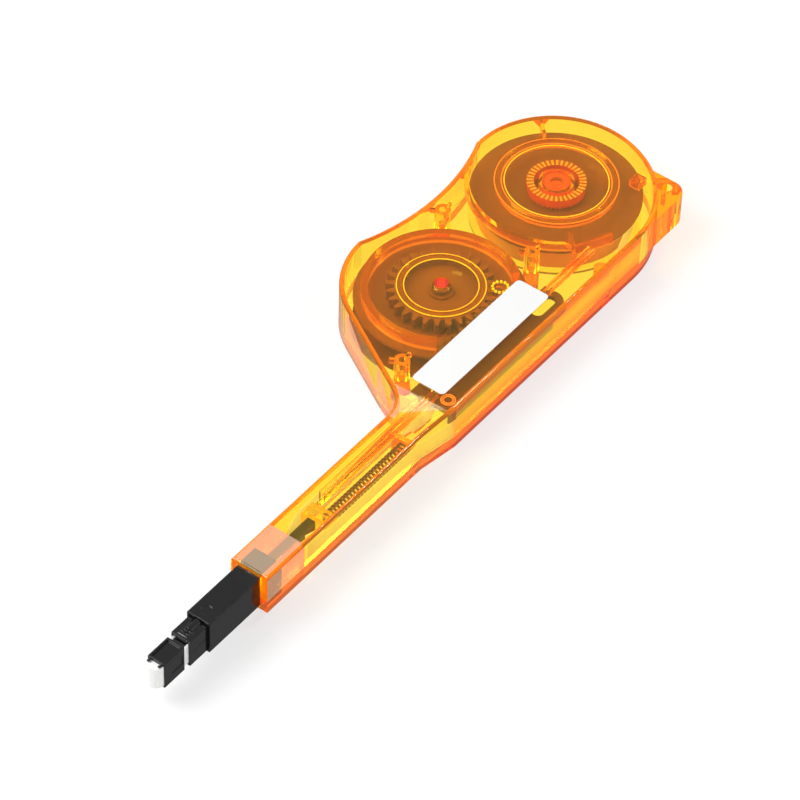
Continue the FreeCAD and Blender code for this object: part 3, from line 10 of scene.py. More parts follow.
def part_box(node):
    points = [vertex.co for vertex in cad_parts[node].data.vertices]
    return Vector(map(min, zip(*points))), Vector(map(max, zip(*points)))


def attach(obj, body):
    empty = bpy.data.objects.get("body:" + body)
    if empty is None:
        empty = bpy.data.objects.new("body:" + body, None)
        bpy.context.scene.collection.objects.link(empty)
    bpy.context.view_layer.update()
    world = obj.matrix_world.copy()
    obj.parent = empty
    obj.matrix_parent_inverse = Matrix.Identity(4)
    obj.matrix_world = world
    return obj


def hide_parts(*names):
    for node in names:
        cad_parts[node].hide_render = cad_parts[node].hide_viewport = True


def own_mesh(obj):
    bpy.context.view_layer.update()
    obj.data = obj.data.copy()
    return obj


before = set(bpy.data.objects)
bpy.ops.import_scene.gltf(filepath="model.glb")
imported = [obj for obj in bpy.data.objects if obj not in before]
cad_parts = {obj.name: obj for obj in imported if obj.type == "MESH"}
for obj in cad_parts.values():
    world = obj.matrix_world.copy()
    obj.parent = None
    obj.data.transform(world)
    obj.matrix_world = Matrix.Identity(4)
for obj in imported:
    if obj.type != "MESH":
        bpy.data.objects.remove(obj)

bl_info = {
    "name": "Fibre Connector Cleaning Pen",
    "version": (1, 0, 0),
    "blender": (4, 5, 0),
    "location": "View3D > Sidebar > Cleaning Pen",
    "description": "Builds the surfaces, springs and tape of a clear cleaning pen, and its stage",
    "category": "Object",
}


PLATE_UNDER = 0.0144      # underside of the cover's plate


def middle(node):
    """Middle of a CAD node's box, in metres."""
    low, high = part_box(node)
    return (low + high) / 2


# ---------------------------------------------------------------- sizes and colours

class PenCaseSettings(bpy.types.PropertyGroup):
    """The two clear shells."""
    tint: FloatVectorProperty(
        name="Tint", description="Colour that thick clear plastic takes", subtype="COLOR", size=3, min=0,
        max=1, default=(0.996, 0.90, 0.01))
    depth: FloatProperty(
        name="Tint Depth", description="How fast the tint deepens with thickness, per metre", default=1000.0,
        min=0)
    # Painted glow inside thick plastic, standing in for the light the plastic carries to its edges; partly real
    # fluorescence of the dye, mostly painted light.
    glow: FloatProperty(
        name="Painted Glow", description="How strongly the fluorescent dye lights up thick plastic, per metre",
        default=38.0, min=0)
    # Colour of that painted glow.
    painted_glow_tint: FloatVectorProperty(
        name="Painted Glow Tint", description="Colour of the fluorescent dye's light", subtype="COLOR", size=3, min=0,
        max=1, default=(1.0, 0.48, 0.01))
    gap: FloatProperty(
        name="Air Gap", description="Left between clear pieces that touch, so that each keeps its own inside",
        default=0.00001, unit="LENGTH", precision=6)
    rosette: FloatVectorProperty(
        name="Rosette Place", description="Middle of the bead rosette, across and along", size=2,
        default=(0.0459, -0.01095), unit="LENGTH")
    beads: IntProperty(
        name="Beads", description="Beads in the rosette", default=12, min=3)
    bead: FloatProperty(
        name="Bead Radius", description="Radius of a rosette bead", default=0.00042, unit="LENGTH",
        precision=5)
    bead_ring: FloatProperty(
        name="Bead Ring", description="Radius of the ring of beads", default=0.0021, unit="LENGTH",
        precision=5)
    corner_ring: FloatVectorProperty(
        name="Corner Ring", description="Middle of the small ring near the label's corner", size=3,
        default=(0.0034, -0.0255, 0), unit="LENGTH")
    fillet: FloatProperty(
        name="Ring Fillet", description="Thickness of the fillets beside the cover's rings", default=0.00016,
        unit="LENGTH", precision=5)
    ring_teeth: IntProperty(
        name="Ring Teeth", description="Teeth of the ring over the supply reel", default=36, min=3)
    frost_length: FloatProperty(
        name="Frosted Length", description="Length of the frosted band at the nose's front", default=0.015,
        unit="LENGTH")
    crease: FloatProperty(
        name="Crease Angle", description="Edges sharper than this stay sharp", default=math.radians(6),
        subtype="ANGLE")


class PenDriveSettings(bpy.types.PropertyGroup):
    """Reels, gear, rack slider and springs."""
    amber: FloatVectorProperty(
        name="Amber", description="Colour of the reels and the gear", subtype="COLOR", size=3, min=0, max=1,
        default=(0.20, 0.047, 0.02))
    umber: FloatVectorProperty(
        name="Umber", description="Colour of the rack slider", subtype="COLOR", size=3, min=0, max=1,
        default=(0.12, 0.034, 0.015))
    shaded: FloatVectorProperty(
        name="Shaded Tape", description="Colour of the full supply roll between its discs", subtype="COLOR",
        size=3, min=0, max=1, default=(0.80, 0.36, 0.20))
    wire: FloatProperty(
        name="Return Wire", description="Wire diameter of the return spring", default=0.0006, unit="LENGTH")
    coil: FloatProperty(
        name="Return Coil", description="Radius of the return spring's coil", default=0.0018, unit="LENGTH")
    turns: IntProperty(
        name="Return Turns", description="Open turns of the return spring", default=23, min=1)
    clutch_wire: FloatProperty(
        name="Clutch Wire", description="Wire diameter of the clutch spring", default=0.0004, unit="LENGTH")
    clutch_coil: FloatProperty(
        name="Clutch Coil", description="Radius of the clutch spring's coil", default=0.0026, unit="LENGTH")
    clutch_turns: IntProperty(
        name="Clutch Turns", description="Turns of the clutch spring", default=3, min=1)
    head_wire: FloatProperty(
        name="Head Wire", description="Wire diameter of the spring behind the head", default=0.0004,
        unit="LENGTH")
    head_coil: FloatProperty(
        name="Head Coil", description="Radius of the spring behind the head", default=0.0015, unit="LENGTH")
    head_turns: IntProperty(
        name="Head Turns", description="Turns of the spring behind the head", default=6, min=1)


class PenTipSettings(bpy.types.PropertyGroup):
    """Sleeve, neck, head and tape."""
    black: FloatVectorProperty(
        name="Black", description="Colour of the sleeve, neck and head", subtype="COLOR", size=3, min=0,
        max=1, default=(0.007, 0.007, 0.0075))
    white: FloatVectorProperty(
        name="Tape White", description="Colour of the cleaning tape", subtype="COLOR", size=3, min=0, max=1,
        default=(0.86, 0.86, 0.85))
    # Painted glow on the tape: an emission standing in for the light that falls on it.
    painted_tape_glow: FloatProperty(
        name="Painted Tape Glow", description="Glow of the tape's optical whitener", default=0.3, min=0)
    thread: FloatProperty(
        name="Thread Spacing", description="Spacing of the tape's woven threads", default=0.00028,
        unit="LENGTH")
    label: FloatVectorProperty(
        name="Label White", description="Colour of the bare label", subtype="COLOR", size=3, min=0, max=1,
        default=(0.77, 0.77, 0.765))


class PenStageSettings(bpy.types.PropertyGroup):
    """Floor, lamps and camera."""
    floor: FloatProperty(
        name="Floor Size", description="Side of the square floor", default=6.0, unit="LENGTH")
    lens: FloatProperty(
        name="Lens", description="Focal length of the camera in millimetres", default=198.9)
    distance: FloatProperty(
        name="Camera Distance", description="From the camera to the point it looks at", default=1.17365,
        unit="LENGTH")
    azimuth: FloatProperty(
        name="Camera Azimuth", description="Turn of the camera about the pen", default=math.radians(-53.835),
        subtype="ANGLE")
    elevation: FloatProperty(
        name="Camera Elevation", description="Height of the camera above the floor",
        default=math.radians(45.688), subtype="ANGLE")
    roll: FloatProperty(
        name="Camera Roll", description="Turn of the camera about its own axis", default=math.radians(1.824),
        subtype="ANGLE")


# ---------------------------------------------------------------- shared node groups

def moulded_grain():
    """Group for a moulded surface: uneven gloss, fine grain and a little unevenness of tone."""
    name = "moulded grain"
    if name in bpy.data.node_groups:
        return bpy.data.node_groups[name]
    group = bpy.data.node_groups.new(name, "ShaderNodeTree")
    face = group.interface
    for label, default in (("Scale", 900.0), ("Gloss Low", 0.2), ("Gloss High", 0.4), ("Grain", 1.0),
                           ("Mottle", 0.1)):
        face.new_socket(label, in_out="INPUT", socket_type="NodeSocketFloat").default_value = default
    face.new_socket("Vector", in_out="INPUT", socket_type="NodeSocketVector")
    for label in ("Roughness", "Height", "Tone"):
        face.new_socket(label, in_out="OUTPUT", socket_type="NodeSocketFloat")
    nodes, links = group.nodes, group.links
    enter, leave = nodes.new("NodeGroupInput"), nodes.new("NodeGroupOutput")
    broad = nodes.new("ShaderNodeTexNoise")
    broad.inputs["Scale"].default_value = 120.0
    broad.inputs["Detail"].default_value = 3.0
    fine = nodes.new("ShaderNodeTexNoise")
    fine.inputs["Detail"].default_value = 4.0
    links.new(enter.outputs["Vector"], broad.inputs["Vector"])
    links.new(enter.outputs["Vector"], fine.inputs["Vector"])
    links.new(enter.outputs["Scale"], fine.inputs["Scale"])
    gloss = nodes.new("ShaderNodeMapRange")
    gloss.inputs["From Min"].default_value = 0.3
    gloss.inputs["From Max"].default_value = 0.7
    links.new(broad.outputs["Fac"], gloss.inputs["Value"])
    links.new(enter.outputs["Gloss Low"], gloss.inputs["To Min"])
    links.new(enter.outputs["Gloss High"], gloss.inputs["To Max"])
    links.new(gloss.outputs["Result"], leave.inputs["Roughness"])
    lift = nodes.new("ShaderNodeMath")
    lift.operation = "MULTIPLY"
    links.new(fine.outputs["Fac"], lift.inputs[0])
    links.new(enter.outputs["Grain"], lift.inputs[1])
    links.new(lift.outputs["Value"], leave.inputs["Height"])
    centre = nodes.new("ShaderNodeMath")
    centre.operation = "SUBTRACT"
    centre.inputs[1].default_value = 0.5
    links.new(broad.outputs["Fac"], centre.inputs[0])
    share = nodes.new("ShaderNodeMath")
    share.operation = "MULTIPLY"
    links.new(centre.outputs["Value"], share.inputs[0])
    links.new(enter.outputs["Mottle"], share.inputs[1])
    tone = nodes.new("ShaderNodeMath")
    tone.operation = "ADD"
    tone.inputs[1].default_value = 1.0
    links.new(share.outputs["Value"], tone.inputs[0])
    links.new(tone.outputs["Value"], leave.inputs["Tone"])
    return group


def finish_start(name):
    """A material with its Principled shader, its node tree and a texture coordinate node."""
    material = bpy.data.materials.new(name)
    material.use_nodes = True
    tree = material.node_tree
    shader = tree.nodes["Principled BSDF"]
    where = tree.nodes.new("ShaderNodeTexCoord")
    return material, tree, shader, where


def add_grain(tree, shader, vector, low, high, scale=900.0, grain=1.0, mottle=0.1, bump=0.1, reach=0.0001,
              edge=0.0):
    """Puts the moulded grain on a material's roughness and normal, and gives the group node."""
    node = tree.nodes.new("ShaderNodeGroup")
    node.node_tree = moulded_grain()
    for label, number in (("Scale", scale), ("Gloss Low", low), ("Gloss High", high), ("Grain", grain),
                          ("Mottle", mottle)):
        node.inputs[label].default_value = number
    tree.links.new(vector, node.inputs["Vector"])
    tree.links.new(node.outputs["Roughness"], shader.inputs["Roughness"])
    relief = tree.nodes.new("ShaderNodeBump")
    relief.inputs["Strength"].default_value = bump
    relief.inputs["Distance"].default_value = reach
    tree.links.new(node.outputs["Height"], relief.inputs["Height"])
    if edge:
        soft = tree.nodes.new("ShaderNodeBevel")
        soft.samples = 6
        soft.inputs["Radius"].default_value = edge
        tree.links.new(soft.outputs["Normal"], relief.inputs["Normal"])
    tree.links.new(relief.outputs["Normal"], shader.inputs["Normal"])
    return node


def add_tone(tree, shader, tone, colour):
    """A base colour that the tone value makes lighter and darker."""
    mix = tree.nodes.new("ShaderNodeVectorMath")
    mix.operation = "SCALE"
    mix.inputs[0].default_value = tuple(colour)
    tree.links.new(tone, mix.inputs["Scale"])
    tree.links.new(mix.outputs["Vector"], shader.inputs["Base Color"])


def clear_plastic(name, case, transmission, colour, low, high):
    """Clear orange plastic that takes its colour from its thickness, with a painted glow inside it that stands
    in for the light the plastic carries to its edges.
    """
    if name in bpy.data.materials:
        return bpy.data.materials[name]
    material, tree, shader, where = finish_start(name)
    shader.inputs["Base Color"].default_value = (*colour, 1)
    shader.inputs["Transmission Weight"].default_value = transmission
    shader.inputs["IOR"].default_value = 1.42
    add_grain(tree, shader, where.outputs["Object"], low, high, scale=160.0, bump=0.02, reach=0.0002)
    path = tree.nodes.new("ShaderNodeLightPath")
    clear = tree.nodes.new("ShaderNodeBsdfTransparent")
    clear.inputs["Color"].default_value = (0.78, 0.78, 0.78, 1)
    choice = tree.nodes.new("ShaderNodeMixShader")
    tree.links.new(path.outputs["Is Shadow Ray"], choice.inputs[0])
    tree.links.new(shader.outputs["BSDF"], choice.inputs[1])
    tree.links.new(clear.outputs["BSDF"], choice.inputs[2])
    tree.links.new(choice.outputs["Shader"], tree.nodes["Material Output"].inputs["Surface"])
    haze = tree.nodes.new("ShaderNodeVolumeAbsorption")
    haze.inputs["Color"].default_value = (*case.tint, 1)
    haze.inputs["Density"].default_value = case.depth
    # Painted glow: this emission is the same under any lamp and stands in for the light the plastic carries to
    # its edges.
    painted_glow = tree.nodes.new("ShaderNodeEmission")
    painted_glow.inputs["Color"].default_value = (*case.painted_glow_tint, 1)
    painted_glow.inputs["Strength"].default_value = case.glow
    inside = tree.nodes.new("ShaderNodeAddShader")
    tree.links.new(haze.outputs["Volume"], inside.inputs[0])
    tree.links.new(painted_glow.outputs["Emission"], inside.inputs[1])
    tree.links.new(inside.outputs["Shader"], tree.nodes["Material Output"].inputs["Volume"])
    return material


def shell_plastic(case):
    """Polished clear plastic of the shells."""
    return clear_plastic("clear orange plastic", case, 1.0, (1.0, 0.985, 0.95), 0.01, 0.04)


def frosted_plastic(case):
    """The same plastic with a frosted skin."""
    return clear_plastic("frosted orange plastic", case, 0.72, (1.0, 0.82, 0.62), 0.03, 0.08)


def post_plastic(case):
    """Deep red plastic: the post tops, which look redder because they are seen down their whole length, the
    toothed ring's upright faces, and painted shade along the base's near bottom chamfer.
    """
    return clear_plastic("deep orange plastic", case, 0.5, (0.78, 0.06, 0.035), 0.05, 0.12)


def painted_rib_plastic(case):
    """Ribs and bosses, whose upright faces get a deeper orange as painted light, standing in for the light that
    the plastic carries.
    """
    return clear_plastic("rib orange plastic with painted light", case, 0.84, (1.0, 0.33, 0.08), 0.03, 0.08)


def tooth_shaded_plastic(case, centre):
    """The toothed ring's flat faces, with its teeth showing through as radial marks, the gaps between them
    darkened as painted shade.
    """
    material, tree, shader, where = finish_start("orange plastic with painted tooth shade")
    place = tree.nodes.new("ShaderNodeMapping")
    place.inputs["Location"].default_value = (-centre.x, -centre.y, 0)
    tree.links.new(where.outputs["Object"], place.inputs["Vector"])
    around = tree.nodes.new("ShaderNodeTexGradient")
    around.gradient_type = "RADIAL"
    tree.links.new(place.outputs["Vector"], around.inputs["Vector"])
    teeth = tree.nodes.new("ShaderNodeMath")
    teeth.operation = "MULTIPLY"
    teeth.inputs[1].default_value = case.ring_teeth
    tree.links.new(around.outputs["Fac"], teeth.inputs[0])
    step = tree.nodes.new("ShaderNodeMath")
    step.operation = "PINGPONG"
    step.inputs[1].default_value = 0.5
    tree.links.new(teeth.outputs["Value"], step.inputs[0])
    tooth_gap_shade = tree.nodes.new("ShaderNodeMapRange")
    tooth_gap_shade.inputs["From Min"].default_value = 0.2
    tooth_gap_shade.inputs["From Max"].default_value = 0.3
    tree.links.new(step.outputs["Value"], tooth_gap_shade.inputs["Value"])
    # Painted shade: dark red marks between the teeth, lighter orange on them.
    mix = tree.nodes.new("ShaderNodeMix")
    mix.data_type = "RGBA"
    for socket, colour in ((6, (0.45, 0.05, 0.02, 1)), (7, (1.0, 0.45, 0.12, 1))):
        mix.inputs[socket].default_value = colour
    tree.links.new(tooth_gap_shade.outputs["Result"], mix.inputs[0])
    tree.links.new(mix.outputs[2], shader.inputs["Base Color"])
    shader.inputs["Transmission Weight"].default_value = 0.35
    shader.inputs["Roughness"].default_value = 0.12
    relief = tree.nodes.new("ShaderNodeBump")
    relief.inputs["Strength"].default_value = 0.3
    relief.inputs["Distance"].default_value = 0.0001
    tree.links.new(tooth_gap_shade.outputs["Result"], relief.inputs["Height"])
    tree.links.new(relief.outputs["Normal"], shader.inputs["Normal"])
    return material


def painted_side_plastic(case, height):
    """The upright sides, deeper in colour towards the floor and the plate, with painted light and shade in a
    height ramp: painted shade turns them red towards the floor, and a painted bright yellow band at mid height
    stands in for the lit tape behind them.
    """
    material = clear_plastic("side orange plastic with painted light", case, 0.7, (1.0, 0.55, 0.06), 0.02, 0.05)
    tree = material.node_tree
    where = tree.nodes.new("ShaderNodeTexCoord")
    apart = tree.nodes.new("ShaderNodeSeparateXYZ")
    tree.links.new(where.outputs["Object"], apart.inputs["Vector"])
    rise = tree.nodes.new("ShaderNodeMapRange")
    rise.inputs["From Max"].default_value = height
    tree.links.new(apart.outputs["Z"], rise.inputs["Value"])
    # Painted light and shade: red near the floor, a bright yellow band at mid height, deeper orange near the
    # plate.
    painted_bands = tree.nodes.new("ShaderNodeValToRGB")
    stops = painted_bands.color_ramp.elements
    stops.remove(stops[1])
    for share, green in ((0.12, 0.12), (0.28, 0.20), (0.40, 0.66), (0.55, 0.96), (0.70, 0.92), (0.80, 0.34),
                         (1.0, 0.40)):
        stops.new(share).color = (1.0, green, 0.03, 1)
    stops[0].color = (0.85, 0.13, 0.05, 1)
    tree.links.new(rise.outputs["Result"], painted_bands.inputs["Fac"])
    tree.links.new(painted_bands.outputs["Color"], tree.nodes["Principled BSDF"].inputs["Base Color"])
    return material


def fillet_plastic(name, colour):
    """Thin fillets with a painted glow, standing in for the light which the plate carries."""
    material, tree, shader, where = finish_start(name)
    grain = add_grain(tree, shader, where.outputs["Object"], 0.15, 0.3, bump=0.05, reach=0.00005)
    add_tone(tree, shader, grain.outputs["Tone"], colour)
    # Painted highlight: the emission makes the fillets glow though no lamp lights them.
    shader.inputs["Emission Color"].default_value = (*colour, 1)
    shader.inputs["Emission Strength"].default_value = 0.4
    return material


def drive_plastic(name, colour, low=0.34, high=0.5):
    """Opaque brown plastic of the reels, the gear and the slider."""
    if name in bpy.data.materials:
        return bpy.data.materials[name]
    material, tree, shader, where = finish_start(name)
    grain = add_grain(tree, shader, where.outputs["Object"], low, high, mottle=0.35, bump=0.15, reach=0.00008)
    add_tone(tree, shader, grain.outputs["Tone"], colour)
    shader.inputs["Specular IOR Level"].default_value = 0.35
    return material


def black_plastic(tip):
    """Satin black plastic with a fine spark-eroded grain."""
    material, tree, shader, where = finish_start("satin black plastic")
    grain = add_grain(tree, shader, where.outputs["Object"], 0.09, 0.17, scale=2600.0, mottle=0.5, bump=0.05,
                      reach=0.00002, edge=0.0003)
    add_tone(tree, shader, grain.outputs["Tone"], tip.black)
    return material


def wire_steel():
    """Drawn spring wire."""
    material, tree, shader, where = finish_start("drawn wire")
    grain = add_grain(tree, shader, where.outputs["Object"], 0.22, 0.4, scale=3200.0, mottle=0.5, bump=0.12,
                      reach=0.00002)
    add_tone(tree, shader, grain.outputs["Tone"], (0.17, 0.055, 0.028))
    shader.inputs["Metallic"].default_value = 0.6
    return material


def wave_scale(spacing):
    """Scale of a wave texture whose bands lie this far apart."""
    return math.pi / (20 * spacing)


def woven_tape(tip, name, painted_tape_glow):
    """White microfibre tape with warp and weft threads, thin enough to let light through, with a painted glow.
    """
    see_through = 0.45
    material, tree, shader, where = finish_start(name)
    waves = []
    for direction in ("X", "Z"):
        wave = tree.nodes.new("ShaderNodeTexWave")
        wave.bands_direction = direction
        wave.inputs["Scale"].default_value = wave_scale(tip.thread)
        wave.inputs["Distortion"].default_value = 0.6
        wave.inputs["Detail"].default_value = 1.0
        tree.links.new(where.outputs["Object"], wave.inputs["Vector"])
        waves.append(wave)
    weave = tree.nodes.new("ShaderNodeMath")
    weave.operation = "MULTIPLY"
    tree.links.new(waves[0].outputs["Fac"], weave.inputs[0])
    tree.links.new(waves[1].outputs["Fac"], weave.inputs[1])
    relief = tree.nodes.new("ShaderNodeBump")
    relief.inputs["Strength"].default_value = 0.35
    relief.inputs["Distance"].default_value = 0.00005
    tree.links.new(weave.outputs["Value"], relief.inputs["Height"])
    tree.links.new(relief.outputs["Normal"], shader.inputs["Normal"])
    tone = tree.nodes.new("ShaderNodeMapRange")
    tone.inputs["To Min"].default_value = 0.9
    tone.inputs["To Max"].default_value = 1.06
    tree.links.new(weave.outputs["Value"], tone.inputs["Value"])
    add_tone(tree, shader, tone.outputs["Result"], tip.white)
    shader.inputs["Roughness"].default_value = 0.85
    shader.inputs["Sheen Weight"].default_value = 0.25
    # Painted glow: the emission stands in for light falling on the tape.
    shader.inputs["Emission Color"].default_value = (1, 1, 0.98, 1)
    shader.inputs["Emission Strength"].default_value = painted_tape_glow
    thin = tree.nodes.new("ShaderNodeBsdfTranslucent")
    thin.inputs["Color"].default_value = (*tip.white, 1)
    both = tree.nodes.new("ShaderNodeMixShader")
    both.inputs[0].default_value = see_through
    tree.links.new(shader.outputs["BSDF"], both.inputs[1])
    tree.links.new(thin.outputs["BSDF"], both.inputs[2])
    tree.links.new(both.outputs["Shader"], tree.nodes["Material Output"].inputs["Surface"])
    return material


def wound_tape(name, x, y, colour):
    """Laps of tape on a reel, seen as fine rings about the reel's axis."""
    material, tree, shader, where = finish_start(name)
    place = tree.nodes.new("ShaderNodeMapping")
    place.inputs["Location"].default_value = (-x, -y, 0)
    tree.links.new(where.outputs["Object"], place.inputs["Vector"])
    rings = tree.nodes.new("ShaderNodeTexWave")
    rings.wave_type = "RINGS"
    rings.rings_direction = "Z"
    rings.inputs["Scale"].default_value = wave_scale(0.00045)
    rings.inputs["Distortion"].default_value = 0.8
    tree.links.new(place.outputs["Vector"], rings.inputs["Vector"])
    relief = tree.nodes.new("ShaderNodeBump")
    relief.inputs["Strength"].default_value = 0.5
    relief.inputs["Distance"].default_value = 0.0001
    tree.links.new(rings.outputs["Fac"], relief.inputs["Height"])
    tree.links.new(relief.outputs["Normal"], shader.inputs["Normal"])
    tone = tree.nodes.new("ShaderNodeMapRange")
    tone.inputs["To Min"].default_value = 0.82
    tone.inputs["To Max"].default_value = 1.05
    tree.links.new(rings.outputs["Fac"], tone.inputs["Value"])
    add_tone(tree, shader, tone.outputs["Result"], colour)
    shader.inputs["Roughness"].default_value = 0.8
    return material


def label_film(tip):
    """Satin white film of the bare label."""
    material, tree, shader, where = finish_start("label film")
    grain = add_grain(tree, shader, where.outputs["Object"], 0.35, 0.5, scale=1500.0, mottle=0.04, bump=0.06,
                      reach=0.00003)
    add_tone(tree, shader, grain.outputs["Tone"], tip.label)
    return material


def pad_rubber(tip):
    """Soft white pad behind the tape at the tip."""
    material, tree, shader, where = finish_start("soft pad")
    grain = add_grain(tree, shader, where.outputs["Object"], 0.55, 0.75, scale=2000.0, mottle=0.08, bump=0.2,
                      reach=0.00004)
    add_tone(tree, shader, grain.outputs["Tone"], tip.white)
    return material


# ---------------------------------------------------------------- making pieces

def link(piece):
    """Puts an object in the scene."""
    bpy.context.scene.collection.objects.link(piece)
    return piece


def from_bmesh(name, bm):
    """A new piece from a bmesh, in the frame's own coordinates."""
    mesh = bpy.data.meshes.new(name)
    bm.to_mesh(mesh)
    bm.free()
    return link(bpy.data.objects.new(name, mesh))


def smooth(piece, angle):
    """Smooth shading with the edges over the angle kept sharp."""
    piece.data.shade_smooth()
    piece.data.set_sharp_from_angle(angle=angle)


def dress(node, name, body, materials, crease, choose=None, cuts=(), inset=0.0):
    """A welded, smooth copy of a CAD node that stands for it, with materials chosen face by face."""
    bm = bmesh.new()
    bm.from_mesh(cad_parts[node].data)
    bmesh.ops.remove_doubles(bm, verts=bm.verts, dist=2e-6)
    bmesh.ops.dissolve_limit(bm, angle_limit=math.radians(0.4), verts=bm.verts, edges=bm.edges)
    for point, normal in cuts:
        everything = bm.verts[:] + bm.edges[:] + bm.faces[:]
        bmesh.ops.bisect_plane(bm, geom=everything, plane_co=point, plane_no=normal)
    bmesh.ops.triangulate(bm, faces=bm.faces)
    piece = from_bmesh(name, bm)
    piece.data.materials.clear()
    for material in materials:
        piece.data.materials.append(material)
    for face in piece.data.polygons:
        foot = min(piece.data.vertices[index].co.z for index in face.vertices)
        face.material_index = choose(face.center, face.normal, foot) if choose else 0
    smooth(piece, crease)
    if inset:
        gap = piece.modifiers.new("air gap", "DISPLACE")
        gap.direction = "NORMAL"
        gap.mid_level = 0
        gap.strength = -inset
    even = piece.modifiers.new("even normals", "WEIGHTED_NORMAL")
    even.mode = "FACE_AREA"
    even.weight = 100
    even.keep_sharp = True
    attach(piece, body)
    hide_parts(node)
    return piece


def coil(name, start, axis, radius, wire, turns, length, closed=1):
    """A spring: closed end turns, then open ones, wound round an axis from the start point."""
    axis = Vector(axis).normalized()
    side = axis.orthogonal().normalized()
    steps = 20
    bm = bmesh.new()
    ring = bmesh.ops.create_circle(bm, segments=8, radius=wire / 2)["verts"]
    turn = Matrix.Identity(3)
    turn.col[0], turn.col[1], turn.col[2] = side, axis, side.cross(axis)
    bmesh.ops.transform(bm, matrix=turn.to_4x4(), verts=ring)
    bmesh.ops.translate(bm, vec=start + side * radius + axis * wire / 2, verts=ring)
    first = [e for e in bm.edges]
    last = first
    ends = closed * wire * 1.02
    open_pitch = (length - wire - 2 * ends) / turns
    for count, pitch in ((closed, wire * 1.02), (turns, open_pitch), (closed, wire * 1.02)):
        if not count:
            continue
        corners = list({v for e in last for v in e.verts})
        made = bmesh.ops.spin(bm, geom=corners + list(last), cent=start, axis=axis, dvec=axis * (pitch / steps),
                              angle=2 * math.pi * count, steps=steps * count, use_duplicate=False)
        last = [item for item in made["geom_last"] if isinstance(item, bmesh.types.BMEdge)]
    for loop in (first, last):
        bmesh.ops.edgeloop_fill(bm, edges=loop)
    bmesh.ops.recalc_face_normals(bm, faces=bm.faces)
    return from_bmesh(name, bm)


# ---------------------------------------------------------------- operators

class PenOperator:
    """What the pen's operators share."""
    bl_options = {"REGISTER", "UNDO"}

    def settings(self, context):
        """The case, drive, tip and stage settings."""
        scene = context.scene
        return scene.pen_case, scene.pen_drive, scene.pen_tip, scene.pen_stage


class CLEANPEN_OT_case(PenOperator, bpy.types.Operator):
    """Makes the two clear shells with their frosted nose band"""
    bl_idname = "cleanpen.case"
    bl_label = "Clear Shells"

    def execute(self, context):
        case = self.settings(context)[0]
        low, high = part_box("upper_shell")
        band = low.x + case.frost_length
        top = 0.01555
        near = -0.0291
        nose_root = 0.002
        slant_end = 0.03
        slant_top = 0.011
        rib_foot = 0.009
        rib_top = 0.01445
        parting = 0.0047
        chamfer_top = 0.0011
        post_radius = 0.0041
        posts = [middle("drive_gear"), middle("supply_roll")]
        # The rib, side and toothed-ring slots carry painted light and shade, and the deep slot also paints
        # shade on the near bottom chamfer.
        polished, frosted, deep, painted_rib, side, tooth_shade = range(6)
        materials = [shell_plastic(case), frosted_plastic(case), post_plastic(case), painted_rib_plastic(case),
                     painted_side_plastic(case, high.z), tooth_shaded_plastic(case, posts[1])]

        def veiled(centre, normal):
            """The nose band's flat top and near side, and the slanted wall beside the take-up reel."""
            above = normal.z > 0.98 and centre.z > top
            beside = normal.y < -0.98 and centre.y < near
            slant = normal.x < -0.5 and abs(normal.z) < 0.2 and normal.y > 0
            low_slant = slant and centre.x < slant_end and centre.z < slant_top
            return centre.x < band and (above or beside) or low_slant

        def cover_skin(centre, normal, foot):
            """The cover's ribs hang from its plate; their upright faces get painted light, and its near side
            gets the side ramp of painted light and shade.
            """
            if veiled(centre, normal):
                return frosted
            # Near sides: the side ramp of painted light and shade.
            if normal.y < -0.9 and centre.y < near and centre.x > nose_root:
                return side
            # Upright rib faces: painted light.
            return painted_rib if abs(normal.z) < 0.5 and foot > rib_foot and centre.z < rib_top else polished

        def base_skin(centre, normal, foot):
            """The base's bosses and posts stand above its parting, and the post tops look deeper; upright faces
            above the parting get painted light, the near bottom chamfer gets painted shade, and the near sides
            get the side ramp of painted light and shade.
            """
            on_post = any((centre - post).xy.length < post_radius for post in posts)
            if normal.z > 0.9 and centre.z > posts[0].z and on_post:
                return deep
            # Upright faces above the parting: painted light.
            if abs(normal.z) < 0.5 and centre.z > parting:
                return painted_rib
            if veiled(centre, normal):
                return frosted
            # Painted shade: the near bottom chamfer takes the deep red plastic, for the shade along the bottom
            # edge.
            if normal.y < -0.2 and centre.z < chamfer_top:
                return deep
            # Near sides: the side ramp of painted light and shade.
            return side if abs(normal.z) < 0.2 and normal.y < 0 else polished

        cut = [(Vector((x, 0, 0)), Vector((1, 0, 0))) for x in (band, nose_root)]
        dress("upper_shell", "cover", "case", materials, case.crease, cover_skin, cut, case.gap)
        dress("lower_shell", "base", "case", materials, case.crease, base_skin, cut, case.gap)
        # The toothed ring's flat faces carry radial marks with painted shade between the teeth.
        dress("detent_ring", "toothed_ring", "case", materials, case.crease,
              lambda centre, normal, foot: deep if abs(normal.z) < 0.5 else tooth_shade, inset=case.gap)
        return {"FINISHED"}


class CLEANPEN_OT_rosette(PenOperator, bpy.types.Operator):
    """Makes the small moulded ring of beads under the cover beside the label"""
    bl_idname = "cleanpen.rosette"
    bl_label = "Bead Rosette"

    def execute(self, context):
        case = self.settings(context)[0]
        depth = 0.0004
        bm = bmesh.new()
        for turn in range(case.beads):
            angle = 2 * math.pi * turn / case.beads
            spot = Vector((case.rosette[0] + case.bead_ring * math.cos(angle),
                           case.rosette[1] + case.bead_ring * math.sin(angle), PLATE_UNDER - depth / 2))
            bmesh.ops.create_cone(bm, cap_ends=True, segments=12, radius1=case.bead, radius2=case.bead * 0.8,
                                  depth=depth, matrix=Matrix.Translation(spot))
        bmesh.ops.recalc_face_normals(bm, faces=bm.faces)
        piece = from_bmesh("rosette", bm)
        # The beads glow as painted highlights.
        piece.data.materials.append(fillet_plastic("painted highlight bead", (1.0, 0.66, 0.08)))
        smooth(piece, case.crease * 5)
        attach(piece, "case")
        return {"FINISHED"}


